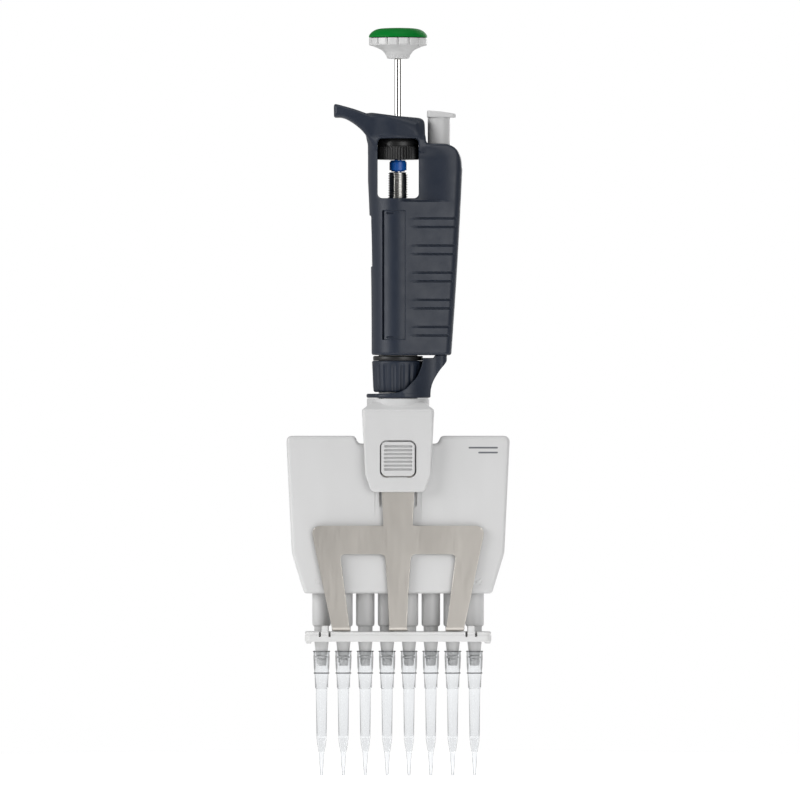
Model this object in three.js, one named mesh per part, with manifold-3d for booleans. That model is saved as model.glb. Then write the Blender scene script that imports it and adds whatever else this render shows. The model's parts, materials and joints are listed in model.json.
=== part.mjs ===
// Eight-channel manual pipette with its disposable tips fitted. Millimetres, +Z up.
//
// The origin is on the flat underside of the finger hook, where the pipette hangs on a stand.
// The plunger axis is vertical and stands PLUNGER_X to the right of the origin. The mid plane is
// Y = 0, and -Y is the front. Every piece below is drawn about the plunger axis, and the last
// group moves the whole assembly to its place.
import * as THREE from "three";
import { mergeVertices } from "three/addons/utils/BufferGeometryUtils.js";
import Module from "manifold-3d";

const wasm = await Module();
wasm.setup();

// ---------------------------------------------------------------- driving dimensions

const PLUNGER_X = 25; // from the hook's flat underside to the plunger axis
const CHANNELS = 8;
const CHANNEL_PITCH = 9; // well pitch of a 96-well plate
const GAP = 0.3; // between pieces that rest on each other

const PLUNGER_STROKE = 18.5; // 15 mm to the first stop, and 3.5 mm of blow-out
const VOLUME_TRAVEL = 14; // the screw's travel over the whole volume range
const EJECT_STROKE = 10;

const WHEEL_BOTTOM = -17.3;
const WHEEL_R = 8.65; // a little wider than the window, so the thumb reaches it from both sides
const SCREW_BOTTOM = -50;
const YOKE_TOP = -115.6;
const YOKE_BOTTOM = -154.1;
const YOKE_FRONT = -14.4;
const YOKE_CEILING = -118.2; // underside of the yoke's top wall
const YOKE_RING_BOTTOM = -123.4;

const HANDLE_BOTTOM = -97.8;
const HANDLE_SHOULDER = -10.9; // top of the handle under the ejector button
const GRIP_R = 12.4; // round left half of the handle
const GRIP_RIGHT = 26.5;
const GRIP_REAR_HALF = 8.6; // half the handle's depth at its right edge
const HOOD_R = 11.5;
const HOOD_SIDE = 10.9; // half-width of the hood right of the plunger axis
const WINDOW = { left: -8.4, right: 8.5, bottom: WHEEL_BOTTOM - VOLUME_TRAVEL - 2, top: -8.7, corner: 2 };
const MAIN_BORE_R = 9.9;
const ROD_R = 1.5;
const ROD_BORE_R = 1.9;
const SCREW_R = 4.1;
const EJECTOR_X = 16.8; // axis of the ejector rod
const EJECTOR_ROD_R = 2.5;
const ARM_TOP = HANDLE_BOTTOM - GAP; // of the ejector arm, under the handle
const NUT_TOP = -100.1;
const NUT_BOTTOM = -113.0;
const NECK_R = 8.0;
const NECK_SHOULDER = YOKE_CEILING - EJECT_STROKE - 1.3; // below it the neck is thicker
const NECK_BASE_R = 8.6;
const FLANGE_TOP = -136.6; // of the neck's flange, under the housing's top wall

const HOUSING_TOP = -131.0;
const HOUSING_BOTTOM = -195.8;
const HOUSING_HALF_DEPTH = 9.5;
const HOUSING_WALL = 2;
const NOTCH_FLOOR = YOKE_RING_BOTTOM - EJECT_STROKE - 0.8; // of the clearance notch for the yoke's ring
const PLATE_FRONT = -11.7;
const PLATE_BACK = -10.5;
const COMB_TOP = -211.5;
const COMB_BOTTOM = -215.6;
const HOLDER_R = 3.83;
const HOLDER_TOP = -173.0;
const HOLDER_TIP = -225.6;
const TIP_RIM = -219.5;
const TIP_POINT = -270.7;
const CROSSHEAD_TOP = -146;
const CROSSHEAD_BOTTOM = -150;
const PISTON_R = 2.523; // 15 mm of travel moves 300 microlitres
const PISTON_END = HOLDER_TOP - 16.5;

// ---------------------------------------------------------------- materials

const plastic = (color, roughness = 0.45) => new THREE.MeshStandardMaterial({ color, roughness, metalness: 0 });
const metal = (color, roughness = 0.3) => new THREE.MeshStandardMaterial({ color, roughness, metalness: 1 });
const slate = () => plastic(0x323845);
const blackPlastic = () => plastic(0x1c1c1e, 0.4);
const whitePlastic = () => plastic(0xeceded, 0.35);
const lightPlastic = () => plastic(0xd8d9da, 0.4);
const steel = () => metal(0xb8b8b8, 0.25);
const brushedSteel = () => metal(0xb4b0a8, 0.4);
const brass = () => metal(0xb08d57, 0.35);
const clearPlastic = () => new THREE.MeshStandardMaterial({
  color: 0xf2f4f5, roughness: 0.1, metalness: 0, transparent: true, opacity: 0.45,
});

// ---------------------------------------------------------------- solid helpers

// A closed geometry as a manifold solid.
function solid(geometry) {
  const bare = geometry.index ? geometry.toNonIndexed() : geometry.clone();
  bare.deleteAttribute("normal");
  bare.deleteAttribute("uv");
  const merged = mergeVertices(bare, 1e-4);
  return new wasm.Manifold(new wasm.Mesh({
    numProp: 3,
    vertProperties: merged.attributes.position.array,
    triVerts: new Uint32Array(merged.index.array),
  }));
}

// A manifold solid as a geometry.
function geometryOf(manifold) {
  const mesh = manifold.getMesh();
  const geometry = new THREE.BufferGeometry();
  geometry.setAttribute("position", new THREE.BufferAttribute(mesh.vertProperties, 3));
  geometry.setIndex(new THREE.BufferAttribute(mesh.triVerts, 1));
  geometry.computeVertexNormals();
  return geometry;
}

const join = (...pieces) => geometryOf(pieces.map(solid).reduce((a, b) => a.add(b)));
const cut = (base, ...tools) => geometryOf(tools.map(solid).reduce((a, b) => a.subtract(b), solid(base)));
const meet = (...pieces) => geometryOf(pieces.map(solid).reduce((a, b) => a.intersect(b)));

function box(x0, x1, y0, y1, z0, z1) {
  const geometry = new THREE.BoxGeometry(x1 - x0, y1 - y0, z1 - z0);
  return geometry.translate((x0 + x1) / 2, (y0 + y1) / 2, (z0 + z1) / 2);
}

// A vertical cylinder between two heights.
function cylinder(r, z0, z1, segments = 20, x = 0, y = 0) {
  const geometry = new THREE.CylinderGeometry(r, r, z1 - z0, segments);
  return geometry.rotateX(Math.PI / 2).translate(x, y, (z0 + z1) / 2);
}

// A solid turned about a vertical axis from [radius, z] points, listed from the bottom up.
function turned(points, segments = 20, x = 0, y = 0) {
  const profile = points.map(([r, z]) => new THREE.Vector2(r, z));
  return new THREE.LatheGeometry(profile, segments).rotateX(Math.PI / 2).translate(x, y, 0);
}

// A turned ring with an upright bore: the outer [radius, z] points run from the bottom up.
function turnedRing(boreR, points, segments = 20, x = 0, y = 0) {
  const bottom = [boreR, points[0][1]];
  const top = [boreR, points[points.length - 1][1]];
  return turned([bottom, ...points, top, bottom], segments, x, y);
}

const ring = (innerR, outerR, z0, z1, segments = 20, x = 0, y = 0) =>
  turnedRing(innerR, [[outerR, z0], [outerR, z1]], segments, x, y);

// An outline in X and Y, extruded upwards from z0 to z1.
function upright(shape, z0, z1, curveSegments = 6, steps = 1) {
  const options = { depth: z1 - z0, bevelEnabled: false, curveSegments, steps };
  return new THREE.ExtrudeGeometry(shape, options).translate(0, 0, z0);
}

// An outline in X and Z, extruded between two values of Y, with its edges bevelled if asked.
function sideways(shape, y0, y1, curveSegments = 6, bevel = 0) {
  const options = {
    depth: y1 - y0 - 2 * bevel,
    bevelEnabled: bevel > 0,
    bevelThickness: bevel,
    bevelSize: bevel,
    bevelOffset: -bevel,
    bevelSegments: 2,
    curveSegments,
  };
  return new THREE.ExtrudeGeometry(shape, options).rotateX(Math.PI / 2).translate(0, y1 - bevel, 0);
}

// A rectangle with four equal round corners.
function roundedRect(left, right, bottom, top, r) {
  const shape = new THREE.Shape();
  shape.moveTo(left + r, bottom);
  shape.lineTo(right - r, bottom);
  shape.absarc(right - r, bottom + r, r, -Math.PI / 2, 0);
  shape.lineTo(right, top - r);
  shape.absarc(right - r, top - r, r, 0, Math.PI / 2);
  shape.lineTo(left + r, top);
  shape.absarc(left + r, top - r, r, Math.PI / 2, Math.PI);
  shape.lineTo(left, bottom + r);
  shape.absarc(left + r, bottom + r, r, Math.PI, 1.5 * Math.PI);
  return shape;
}

// A closed outline through points, straight from each to the next.
function polygon(points) {
  return new THREE.Shape(points.map(([x, y]) => new THREE.Vector2(x, y)));
}

// The same outline on both sides of X = 0, from the points of its right half, top to bottom.
function mirrored(points) {
  const left = points.map(([x, y]) => [-x, y]).reverse();
  return polygon([...left, ...points].reverse());
}

const curve = (shape, points) => shape.splineThru(points.map(([x, y]) => new THREE.Vector2(x, y)));

// ---------------------------------------------------------------- handle

// Half-widths of the grip left and right of the plunger axis at a height.
function gripLeft(z) {
  const down = THREE.MathUtils.clamp((-z - 26) / 72, 0, 1);
  return 10.9 + 1.5 * (1 - down) ** 2.5;
}

function gripRight(z) {
  const down = THREE.MathUtils.clamp((-z - 20.5) / 77.3, 0, 1);
  return GRIP_RIGHT - 4.6 * down + 0.3 * Math.sin(Math.PI * down);
}

// Plan of the grip: a half round on the left that narrows towards a square right edge.
function gripPlan(inset) {
  const corner = 3.5;
  const half = GRIP_REAR_HALF - inset;
  const plan = new THREE.Shape();
  plan.absarc(0, 0, GRIP_R - inset, Math.PI / 2, 1.5 * Math.PI);
  plan.absarc(GRIP_RIGHT - corner, corner - half, corner, -Math.PI / 2, 0);
  plan.absarc(GRIP_RIGHT - corner, half - corner, corner, 0, Math.PI / 2);
  plan.closePath();
  return plan;
}

// The grip: its plan, extruded in steps and drawn in to the left and right edges at each height.
function gripBlock(inset = 0) {
  const top = -8;
  const geometry = upright(gripPlan(inset), HANDLE_BOTTOM - inset, top, 6, 6);
  const position = geometry.attributes.position;
  for (let i = 0; i < position.count; i++) {
    const x = position.getX(i);
    const z = position.getZ(i);
    const scale = x < 0 ? gripLeft(z) / GRIP_R : gripRight(z) / GRIP_RIGHT;
    position.setX(i, x * scale);
  }
  return geometry;
}

// Side outline of the whole handle above the grip, wide of the grip's own edges.
function handleOutline() {
  const shape = new THREE.Shape();
  shape.moveTo(-14, HANDLE_BOTTOM - 1);
  shape.lineTo(28, HANDLE_BOTTOM - 1);
  shape.lineTo(28, -21);
  shape.lineTo(26.5, -20.5);
  shape.quadraticCurveTo(26, -11.7, 20.8, HANDLE_SHOULDER);
  shape.lineTo(14.1, HANDLE_SHOULDER + 0.2);
  shape.quadraticCurveTo(11.6, -10.4, 11.4, -9.1);
  shape.lineTo(11, -2.2);
  shape.quadraticCurveTo(10.9, -0.3, 7.4, -0.1);
  curve(shape, [[-1.2, 0.45], [-11.1, 1.6], [-14, 2.3]]);
  shape.closePath();
  return shape;
}

// The finger hook: a concave top, a rounded tip and a short flat underside near the tip.
function hookOutline() {
  const shape = new THREE.Shape();
  shape.moveTo(4, -9);
  shape.lineTo(4, 0);
  curve(shape, [[-1.2, 0.45], [-11.1, 1.6], [-18.2, 3.5], [-25.8, 5.56]]);
  shape.quadraticCurveTo(-26.9, 5.8, -26.8, 4.4);
  shape.lineTo(-26.7, 0.6);
  shape.quadraticCurveTo(-26.6, 0, -26.2, 0);
  shape.lineTo(-23.4, 0);
  curve(shape, [[-19.5, -1.6], [-15.2, -5], [-13.2, -8.3], [-12.2, -12.5]]);
  shape.closePath();
  return shape;
}

// Plan of the hook: it narrows towards a rounded tip.
function hookPlan() {
  const tipHalf = 6.5;
  const plan = new THREE.Shape();
  plan.moveTo(5, -10);
  plan.lineTo(5, 10);
  plan.quadraticCurveTo(-14, 9, -24.8, tipHalf);
  plan.quadraticCurveTo(-27, tipHalf - 0.8, -27, tipHalf - 3);
  plan.lineTo(-27, 3 - tipHalf);
  plan.quadraticCurveTo(-27, 0.8 - tipHalf, -24.8, -tipHalf);
  plan.quadraticCurveTo(-14, -9, 5, -10);
  return plan;
}

// The concave thumb recess beside the window, on one side of the handle.
function scoop(side) {
  const geometry = new THREE.SphereGeometry(1, 16, 10);
  return geometry.scale(11, 4, 12).translate(10, side * 12.5, -23.8);
}

// The hood over the wheel: round on the left and flat-sided on the right, with its upper right
// corner drawn in as a cone about a crosswise axis.
function hood() {
  const bottom = -12;
  const top = 4;
  const plan = roundedRect(-5, 11.4, -HOOD_SIDE, HOOD_SIDE, 4);
  const coneR = 18.9; // where the cone meets the flat sides
  const inward = 5;
  const spread = 1.5 * inward;
  const profile = [[0, -13], [coneR - 3.15, -13], [coneR + spread, -HOOD_SIDE + inward],
    [coneR + spread, HOOD_SIDE - inward], [coneR - 3.15, 13], [0, 13]];
  const cone = turned(profile, 64).rotateX(Math.PI / 2).translate(-6.3, 0, -19.1);
  return meet(join(cylinder(HOOD_R, bottom, top, 32), upright(plan, bottom, top, 4)), cone);
}

// What is sunk into the sides of the grip: the label panel, and two grooves along each grip band.
function sideRelief() {
  const bandPitch = 11.15;
  const bandHalf = 1.75;
  const grooves = Array.from({ length: 10 }, (_, i) => {
    const z = -43.4 - bandPitch * Math.floor(i / 2) + (i % 2 ? bandHalf : -bandHalf);
    return box(6.5, gripRight(z) - 2.2, -14, 14, z - 0.3, z + 0.3);
  });
  const panel = sideways(roundedRect(-6.4, 3, -91.5, -38.4, 0.4), -14, 14, 2);
  return cut(join(panel, ...grooves), gripBlock(0.5));
}

function handleShell() {
  const body = meet(join(gripBlock(), hood()), sideways(handleOutline(), -14, 14, 6));
  const hook = meet(sideways(hookOutline(), -11, 11, 4), upright(hookPlan(), -14, 7, 5));
  const window = roundedRect(WINDOW.left, WINDOW.right, WINDOW.bottom, WINDOW.top, WINDOW.corner);
  return cut(
    join(body, hook),
    sideways(window, -15, 15, 3),
    cylinder(WHEEL_R + 0.35, WINDOW.bottom, WINDOW.top, 48), // chamber of the thumbwheel
    sideRelief(),
    scoop(-1),
    scoop(1),
    cylinder(ROD_BORE_R + 0.3, WINDOW.top - 1, 5, 16),
    cylinder(SCREW_R + 0.5, -36, WINDOW.bottom + 1),
    cylinder(6.4, -40, -34.5), // pocket of the micrometer nut
    cylinder(MAIN_BORE_R, HANDLE_BOTTOM - 1, -39),
    box(-16, -6, -3.6, 3.6, -61.2, -40.4), // volumeter window
    box(8, 12.9, -2.4, 2.4, -62, -41), // pocket of the carry pinions
    cylinder(4.9, -39.5, -8, 20, EJECTOR_X),
    cylinder(EJECTOR_ROD_R + 0.5, HANDLE_BOTTOM - 1, -39, 16, EJECTOR_X),
    cylinder(4.2, HANDLE_BOTTOM - 1, -92, 16, EJECTOR_X),
  );
}

function volumeterFrame() {
  return cut(
    ring(8.8, 9.6, -62.5, -39.5, 32),
    box(-12, -6, -3.6, 3.6, -61.2, -40.4),
    box(6, 12, -2.6, 2.6, -62, -41),
  );
}

// The clear window over the number drums, round on its outside like the handle.
function volumeterLens() {
  return meet(ring(9.9, 10.8, -60.9, -40.7, 48), box(-13, -8, -3.3, 3.3, -61, -40));
}

function connectingNut() {
  const flutes = 18;
  const outer = turned([[0, NUT_BOTTOM], [10.2, NUT_BOTTOM], [10.8, NUT_TOP], [0, NUT_TOP]], 36);
  const grooves = Array.from({ length: flutes }, (_, i) => {
    const angle = (2 * Math.PI * i) / flutes;
    return cylinder(0.7, NUT_BOTTOM - 1, NUT_TOP - 1.5, 6, 10.95 * Math.cos(angle), 10.95 * Math.sin(angle));
  });
  return cut(
    outer,
    cylinder(9.4, -104.2, NUT_TOP + 1),
    cylinder(NECK_R + GAP, NUT_BOTTOM - 1, -104),
    ...grooves,
  );
}

// ---------------------------------------------------------------- micrometer and volumeter

function thumbwheel() {
  const knurls = 44;
  const outline = new THREE.Shape();
  for (let i = 0; i < knurls; i++) {
    const angle = (2 * Math.PI * i) / knurls;
    const r = i % 2 ? WHEEL_R : WHEEL_R - 0.4;
    outline[i ? "lineTo" : "moveTo"](r * Math.cos(angle), r * Math.sin(angle));
  }
  outline.closePath();
  const knurlTop = -11.8;
  const step = cylinder(WHEEL_R - 0.75, knurlTop - 0.5, -9, 32);
  return cut(join(upright(outline, WHEEL_BOTTOM, knurlTop), step), cylinder(ROD_BORE_R, -18, -8, 16));
}

const volumeCollar = () => turnedRing(ROD_BORE_R, [
  [2.9, -22.2], [2.9, -21.6], [3.55, -21.4], [3.55, -18.6], [2.9, -18.4], [2.9, -17.6],
], 20);

const micrometerScrew = () => ring(ROD_BORE_R, SCREW_R, SCREW_BOTTOM, -22.5);

function numberDrum(z0) {
  return ring(5.9, 8.4, z0, z0 + 6, 20);
}

// A small transfer pinion between two number drums.
function carryPinion(z0) {
  return cylinder(1.85, z0, z0 + 4, 8, 10.6);
}

// ---------------------------------------------------------------- plunger and pistons

const pushButton = () => turned([
  [ROD_R + GAP, 24.3], [4.3, 24.3], [4.8, 25.4], [5.9, 27.1], [8.35, 28.7], [11.4, 29.6],
  [12, 30], [12, 32.7], [0, 32.7], [0, 31], [ROD_R + GAP, 31], [ROD_R + GAP, 24.3],
], 24);

const buttonCap = () => turned([
  [0, 33], [12, 33], [12, 33.7], [11.5, 34.5], [10.7, 35.3], [9.5, 36.2], [7, 36.9], [0, 37],
], 24);

const channelX = (index) => (index - (CHANNELS - 1) / 2) * CHANNEL_PITCH;
const channels = Array.from({ length: CHANNELS }, (_, index) => index);

// The cross bar that carries the eight pistons.
function pistonRack() {
  const bar = box(-34.5, 34.5, -4, 4, CROSSHEAD_BOTTOM, CROSSHEAD_TOP);
  const boss = cylinder(4, CROSSHEAD_TOP - 1, -145.2, 16);
  const pistons = channels.map((i) => cylinder(PISTON_R, PISTON_END, CROSSHEAD_BOTTOM + 1, 12, channelX(i)));
  return join(bar, boss, ...pistons);
}

// ---------------------------------------------------------------- head

function neck() {
  const flangeTop = -101;
  return cut(
    turned([
      [0, -144.5], [7, -144.5], [7, FLANGE_TOP - 3], [13, FLANGE_TOP - 3], [13, FLANGE_TOP],
      [NECK_BASE_R, FLANGE_TOP], [NECK_BASE_R, NECK_SHOULDER],
      [NECK_R, NECK_SHOULDER], [NECK_R, -103.6], [9, -103.6], [9, flangeTop], [NECK_R, flangeTop],
      [NECK_R, -96], [0, -96],
    ], 24),
    cylinder(6, -137, -95),
    cylinder(2.6, -146, -136, 16),
    box(-14, 14, 7.2, 14, -141, FLANGE_TOP + 0.1),
    box(-14, 14, -14, -7.2, -141, FLANGE_TOP + 0.1),
  );
}

// Front outline of the housing's right half, from the notch beside the neck down to the bottom.
function housingHalfOutline(inset) {
  const top = HOUSING_TOP - inset;
  const bottom = HOUSING_BOTTOM + inset;
  return [
    [15, NOTCH_FLOOR - inset],
    [16, -134 - inset],
    [17.2, -133 - inset],
    [17.9, -131.4 - inset],
    [19.2, top],
    [44.2 - inset, top],
    [45.4 - inset, top - 0.5],
    [45.9 - inset, top - 1.7],
    [43.7 - inset, -179.2],
    [38.6 - inset, bottom],
  ];
}

// One half of the housing: side is -1 for the front shell and 1 for the back shell.
function housingShell(side) {
  const depth = [HOUSING_HALF_DEPTH, HOUSING_HALF_DEPTH - HOUSING_WALL];
  const span = depth.map((y) => (side < 0 ? [-y, -GAP / 2] : [GAP / 2, y]));
  const bevel = 1;
  // the bevelled block is twice as deep and is cut at the parting face, so only its outer edge is bevelled
  const block = sideways(mirrored(housingHalfOutline(0)), -depth[0], depth[0], 4, bevel);
  const half = meet(block, box(-50, 50, span[0][0], span[0][1], -200, -125));
  const cavity = sideways(mirrored(housingHalfOutline(HOUSING_WALL)), span[1][0] - (side > 0), span[1][1] + (side < 0));
  const holes = channels.map((i) => cylinder(HOLDER_R + GAP, -200, -190, 12, channelX(i)));
  return cut(half, cavity, cylinder(NECK_BASE_R + GAP, FLANGE_TOP - GAP, NOTCH_FLOOR + 1, 32), ...holes);
}

function sealPlate() {
  const holes = channels.map((i) => cylinder(PISTON_R + 0.25, -180, -160, 12, channelX(i)));
  return cut(box(-39.5, 39.5, -7, 7, -172.5, -169.3), ...holes);
}

// A tip holder: a cylinder for its piston that ends in the cone that the tip seals on.
function tipHolder(x) {
  return turned([
    [1, HOLDER_TIP], [1.9, HOLDER_TIP], [2.4, -221], [2.65, -218.3], [3, -215.9], [3, -209.6],
    [HOLDER_R, -208.9], [HOLDER_R, -192.7], [4.35, -192.7], [4.35, -190.7], [HOLDER_R, -190.7],
    [HOLDER_R, HOLDER_TOP], [2.85, HOLDER_TOP], [2.85, -208.6], [1, -210.6], [1, HOLDER_TIP],
  ], 12, x);
}

// ---------------------------------------------------------------- ejector

const ejectorButton = () => cut(
  join(
    sideways(polygon([[11.9, 0.1], [23.8, 0.1], [23.8, 1.6], [11.9, 3]]), -5.4, 5.4, 4, 0.3),
    cylinder(4.6, -24, 0.4, 20, EJECTOR_X),
  ),
  cylinder(EJECTOR_ROD_R + GAP, -25, -14, 16, EJECTOR_X),
);

// Plan of the ejector arm: round about the nut, with a block under the ejector rod.
function armPlan() {
  const plan = new THREE.Shape();
  plan.absarc(0, 0, 13.2, Math.PI / 3, (5 * Math.PI) / 3);
  plan.lineTo(17, -6.5);
  plan.quadraticCurveTo(20.3, -6, 20.3, -3);
  plan.lineTo(20.3, 3);
  plan.quadraticCurveTo(20.3, 6, 17, 6.5);
  plan.closePath();
  return plan;
}

// Front outline of the arm's rising part, from the disc up to the ejector rod on the right.
function armOutline() {
  const shape = new THREE.Shape();
  shape.moveTo(-0.6, -113.4);
  shape.lineTo(-0.6, -114.5);
  shape.lineTo(13.2, -114.5);
  shape.lineTo(13.6, -111.4);
  curve(shape, [[14.6, -108.3], [17, -104.3], [19.4, -101.2], [20.1, ARM_TOP]]);
  shape.lineTo(15, ARM_TOP);
  shape.lineTo(14.4, ARM_TOP - 1.1);
  shape.lineTo(10.2, ARM_TOP - 1.1);
  curve(shape, [[9.9, -101.4], [8.1, -106.2], [5.2, -109.6], [2.8, -111.9], [-0.6, -113.4]]);
  return shape;
}

function ejectorArm() {
  const rise = meet(upright(armPlan(), -115, ARM_TOP), sideways(armOutline(), -14, 14, 3));
  return cut(
    join(cylinder(13, -115.3, -113.7, 32), rise),
    cylinder(11.2, -113.4, -97, 24),
    cylinder(NECK_R + GAP, -116, -113, 24),
  );
}

// Plan of the yoke's ring, square-shouldered in front and round behind.
function yokePlan() {
  const half = 14.6;
  const corner = 1.6;
  const plan = new THREE.Shape();
  plan.moveTo(-half + corner, YOKE_FRONT);
  plan.lineTo(half - corner, YOKE_FRONT);
  plan.quadraticCurveTo(half, YOKE_FRONT, half, YOKE_FRONT + corner);
  plan.absarc(0, -1.5, half, 0, Math.PI);
  plan.lineTo(-half, YOKE_FRONT + corner);
  plan.quadraticCurveTo(-half, YOKE_FRONT, -half + corner, YOKE_FRONT);
  return plan;
}

// The yoke: a ring round the neck with an apron in front that carries the latch and the plate.
function yoke() {
  const apron = mirrored([[13, -119], [14.6, -121], [14.3, -130], [13.9, -136.4], [13.4, -146.9],
    [11.3, -153.2], [9.8, YOKE_BOTTOM]]);
  return cut(
    join(
      cylinder(12.85, -120.5, YOKE_TOP, 32),
      upright(yokePlan(), YOKE_RING_BOTTOM, -119.4, 5),
      sideways(apron, YOKE_FRONT, -9.9, 4, 0.8),
    ),
    cylinder(NECK_R + GAP, -119, -115, 32),
    cylinder(NECK_BASE_R + GAP, YOKE_RING_BOTTOM - 1, YOKE_CEILING, 24),
    sideways(roundedRect(-7.4, 7.4, -148.1, -132.9, 2), -16, -9, 3), // latch opening
    box(-7.2, 7.2, -12, -9, YOKE_BOTTOM - 1, -131), // slot of the ejector plate
  );
}

const latchButton = () => sideways(roundedRect(-6.9, 6.9, -147.5, -133.4, 1.8), -14.9, -13.1, 3, 0.4);

// Front outline of the sheet-steel ejector plate: a stem, a bar and three legs.
function plateOutline() {
  const shape = new THREE.Shape();
  const top = -136;
  const barTop = -167.9;
  const barBottom = -179.6;
  const foot = -210.4;
  shape.moveTo(-6.7, top);
  shape.lineTo(-6.7, -154);
  shape.lineTo(-6, barTop);
  shape.lineTo(-32.5, barTop);
  shape.quadraticCurveTo(-35.6, barTop - 0.2, -35.3, -171.5);
  shape.lineTo(-26.9, foot);
  shape.lineTo(-19.7, foot);
  shape.lineTo(-23.4, -181);
  shape.quadraticCurveTo(-23.4, barBottom, -22.2, barBottom);
  shape.lineTo(-6.4, barBottom);
  shape.quadraticCurveTo(-5.2, barBottom, -5.2, -181);
  shape.lineTo(-3.6, foot);
  shape.lineTo(3.6, foot);
  shape.lineTo(5.2, -181);
  shape.quadraticCurveTo(5.2, barBottom, 6.4, barBottom);
  shape.lineTo(22.2, barBottom);
  shape.quadraticCurveTo(23.4, barBottom, 23.4, -181);
  shape.lineTo(19.7, foot);
  shape.lineTo(26.9, foot);
  shape.lineTo(35.3, -171.5);
  shape.quadraticCurveTo(35.6, barTop - 0.2, 32.5, barTop);
  shape.lineTo(6, barTop);
  shape.lineTo(6.7, -154);
  shape.lineTo(6.7, top);
  shape.closePath();
  return shape;
}

// The plate with its three feet, which bend back to lie on the comb.
function ejectorPlate() {
  const footTop = COMB_TOP + GAP + 1.2;
  const feet = [[-26.9, -19.7], [-3.6, 3.6], [19.7, 26.9]].map(([x0, x1]) =>
    box(x0, x1, PLATE_FRONT, -5.6, COMB_TOP + GAP, footTop));
  return join(sideways(plateOutline(), PLATE_FRONT, PLATE_BACK, 3), ...feet);
}

// The comb: a bar with a hole for each tip holder, thicker ends, and two snap tabs on its front edge.
function comb() {
  const plan = roundedRect(-38.3, 38.3, -11.9, 6.5, 2.5);
  const ends = [-1, 1].map((side) => box(...[35, 38].map((x) => side * x).sort((a, b) => a - b), -10, 5,
    COMB_BOTTOM - 0.8, COMB_BOTTOM + 1));
  const tabs = [-30.1, 30.1].map((x) => box(x - 1.3, x + 1.3, -11.6, -10, COMB_TOP - 1, -209));
  const slots = [-32.1, -28.1, 28.1, 32.1].map((x) => box(x - 0.45, x + 0.45, -12, -9.6, COMB_TOP - 2, COMB_TOP + 1));
  const holes = channels.map((i) => cylinder(3.35, -217, -210, 12, channelX(i)));
  return cut(join(upright(plan, COMB_BOTTOM, COMB_TOP, 3), ...ends, ...tabs), ...slots, ...holes);
}

// A thin-walled disposable tip on one tip holder, open at both ends.
function tip(x) {
  return turned([
    [0.3, TIP_POINT], [0.6, TIP_POINT], [1.2, -261.2], [2.1, -255.2], [2.35, -234.9], [2.75, -234.7],
    [3.3, -221], [3.55, -220.2], [3.55, TIP_RIM], [2.95, TIP_RIM], [2.3, -234], [1.8, -254.9],
    [0.8, -261.4], [0.3, TIP_POINT],
  ], 12, x);
}

// ---------------------------------------------------------------- assembly

const pipette = new THREE.Group();
pipette.position.x = PLUNGER_X;

function add(name, geometry, material) {
  const mesh = new THREE.Mesh(geometry, material);
  mesh.name = name;
  pipette.add(mesh);
}

// Handle and what is fixed in it.
add("handle_shell", handleShell(), slate());
add("volumeter_frame", volumeterFrame(), blackPlastic());
add("volumeter_lens", volumeterLens(), clearPlastic());
add("micrometer_nut", ring(SCREW_R + 0.25, 6.1, -38.7, -34.8), brass());
add("stop_washer", ring(ROD_BORE_R, 8.5, -73.3, -53 - PLUNGER_STROKE - GAP), steel());
add("blowout_spring", ring(4.2, 5.6, -90, -73.6, 16), steel());
add("spring_seat", ring(ROD_BORE_R, 9.5, -92, -90.3), steel());
add("handle_ring", ring(NECK_R + GAP, 9.8, NUT_TOP + GAP, HANDLE_BOTTOM - GAP, 32), blackPlastic());
add("connecting_nut", connectingNut(), slate());
add("ejector_bush", ring(EJECTOR_ROD_R + GAP, 3.9, -97.5, -92.3, 16, EJECTOR_X), blackPlastic());

// Volumeter: the drive sleeve turns with the screw and carries the units drum.
add("drive_sleeve", ring(SCREW_R + GAP, 5.6, SCREW_BOTTOM - VOLUME_TRAVEL - 2, -41.2), brass());
add("units_drum", numberDrum(-60.6), whitePlastic());
add("tens_drum", numberDrum(-54), whitePlastic());
add("hundreds_drum", numberDrum(-47.4), whitePlastic());
add("carry_pinion_low", carryPinion(-56.3), brass());
add("carry_pinion_high", carryPinion(-49.7), brass());

// Micrometer.
add("thumbwheel", thumbwheel(), blackPlastic());
add("volume_collar", volumeCollar(), plastic(0x1f5aa6));
add("micrometer_screw", micrometerScrew(), steel());

// Plunger.
add("push_button", pushButton(), whitePlastic());
add("button_cap", buttonCap(), plastic(0x008a32));
add("operating_rod", cylinder(ROD_R, -100.7, 30.7, 16), steel());
add("rod_collar", ring(ROD_R + GAP, 3.8, -53, -50.4, 20), brass());
add("thrust_cup", cylinder(5.6, -104.4, -101, 24), brass());
add("control_rod", cylinder(2, -144.9, -104.7, 16), steel());
add("piston_rack", pistonRack(), steel());

// Head, which swivels on the handle.
add("neck", neck(), lightPlastic());
add("main_spring", ring(4.4, 5.4, -136.7, -104.7, 16), steel());
add("housing_front", housingShell(-1), lightPlastic());
add("housing_back", housingShell(1), lightPlastic());
add("seal_plate", sealPlate(), blackPlastic());
channels.forEach((i) => add(`tip_holder_${i + 1}`, tipHolder(channelX(i)), lightPlastic()));

// Tip ejector.
add("ejector_button", ejectorButton(), lightPlastic());
add("ejector_rod", cylinder(EJECTOR_ROD_R, HANDLE_BOTTOM, -14.3, 16, EJECTOR_X), steel());
add("ejector_spring", ring(EJECTOR_ROD_R + GAP, 4.4, -39.2, -24.3, 16, EJECTOR_X), steel());
add("ejector_arm", ejectorArm(), slate());
add("yoke", yoke(), lightPlastic());
add("latch_button", latchButton(), lightPlastic());
add("ejector_plate", ejectorPlate(), brushedSteel());
add("comb", comb(), whitePlastic());

// Disposable tips.
channels.forEach((i) => add(`tip_${i + 1}`, tip(channelX(i)), clearPlastic()));

export default pipette;
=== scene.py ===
import json
import math

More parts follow.
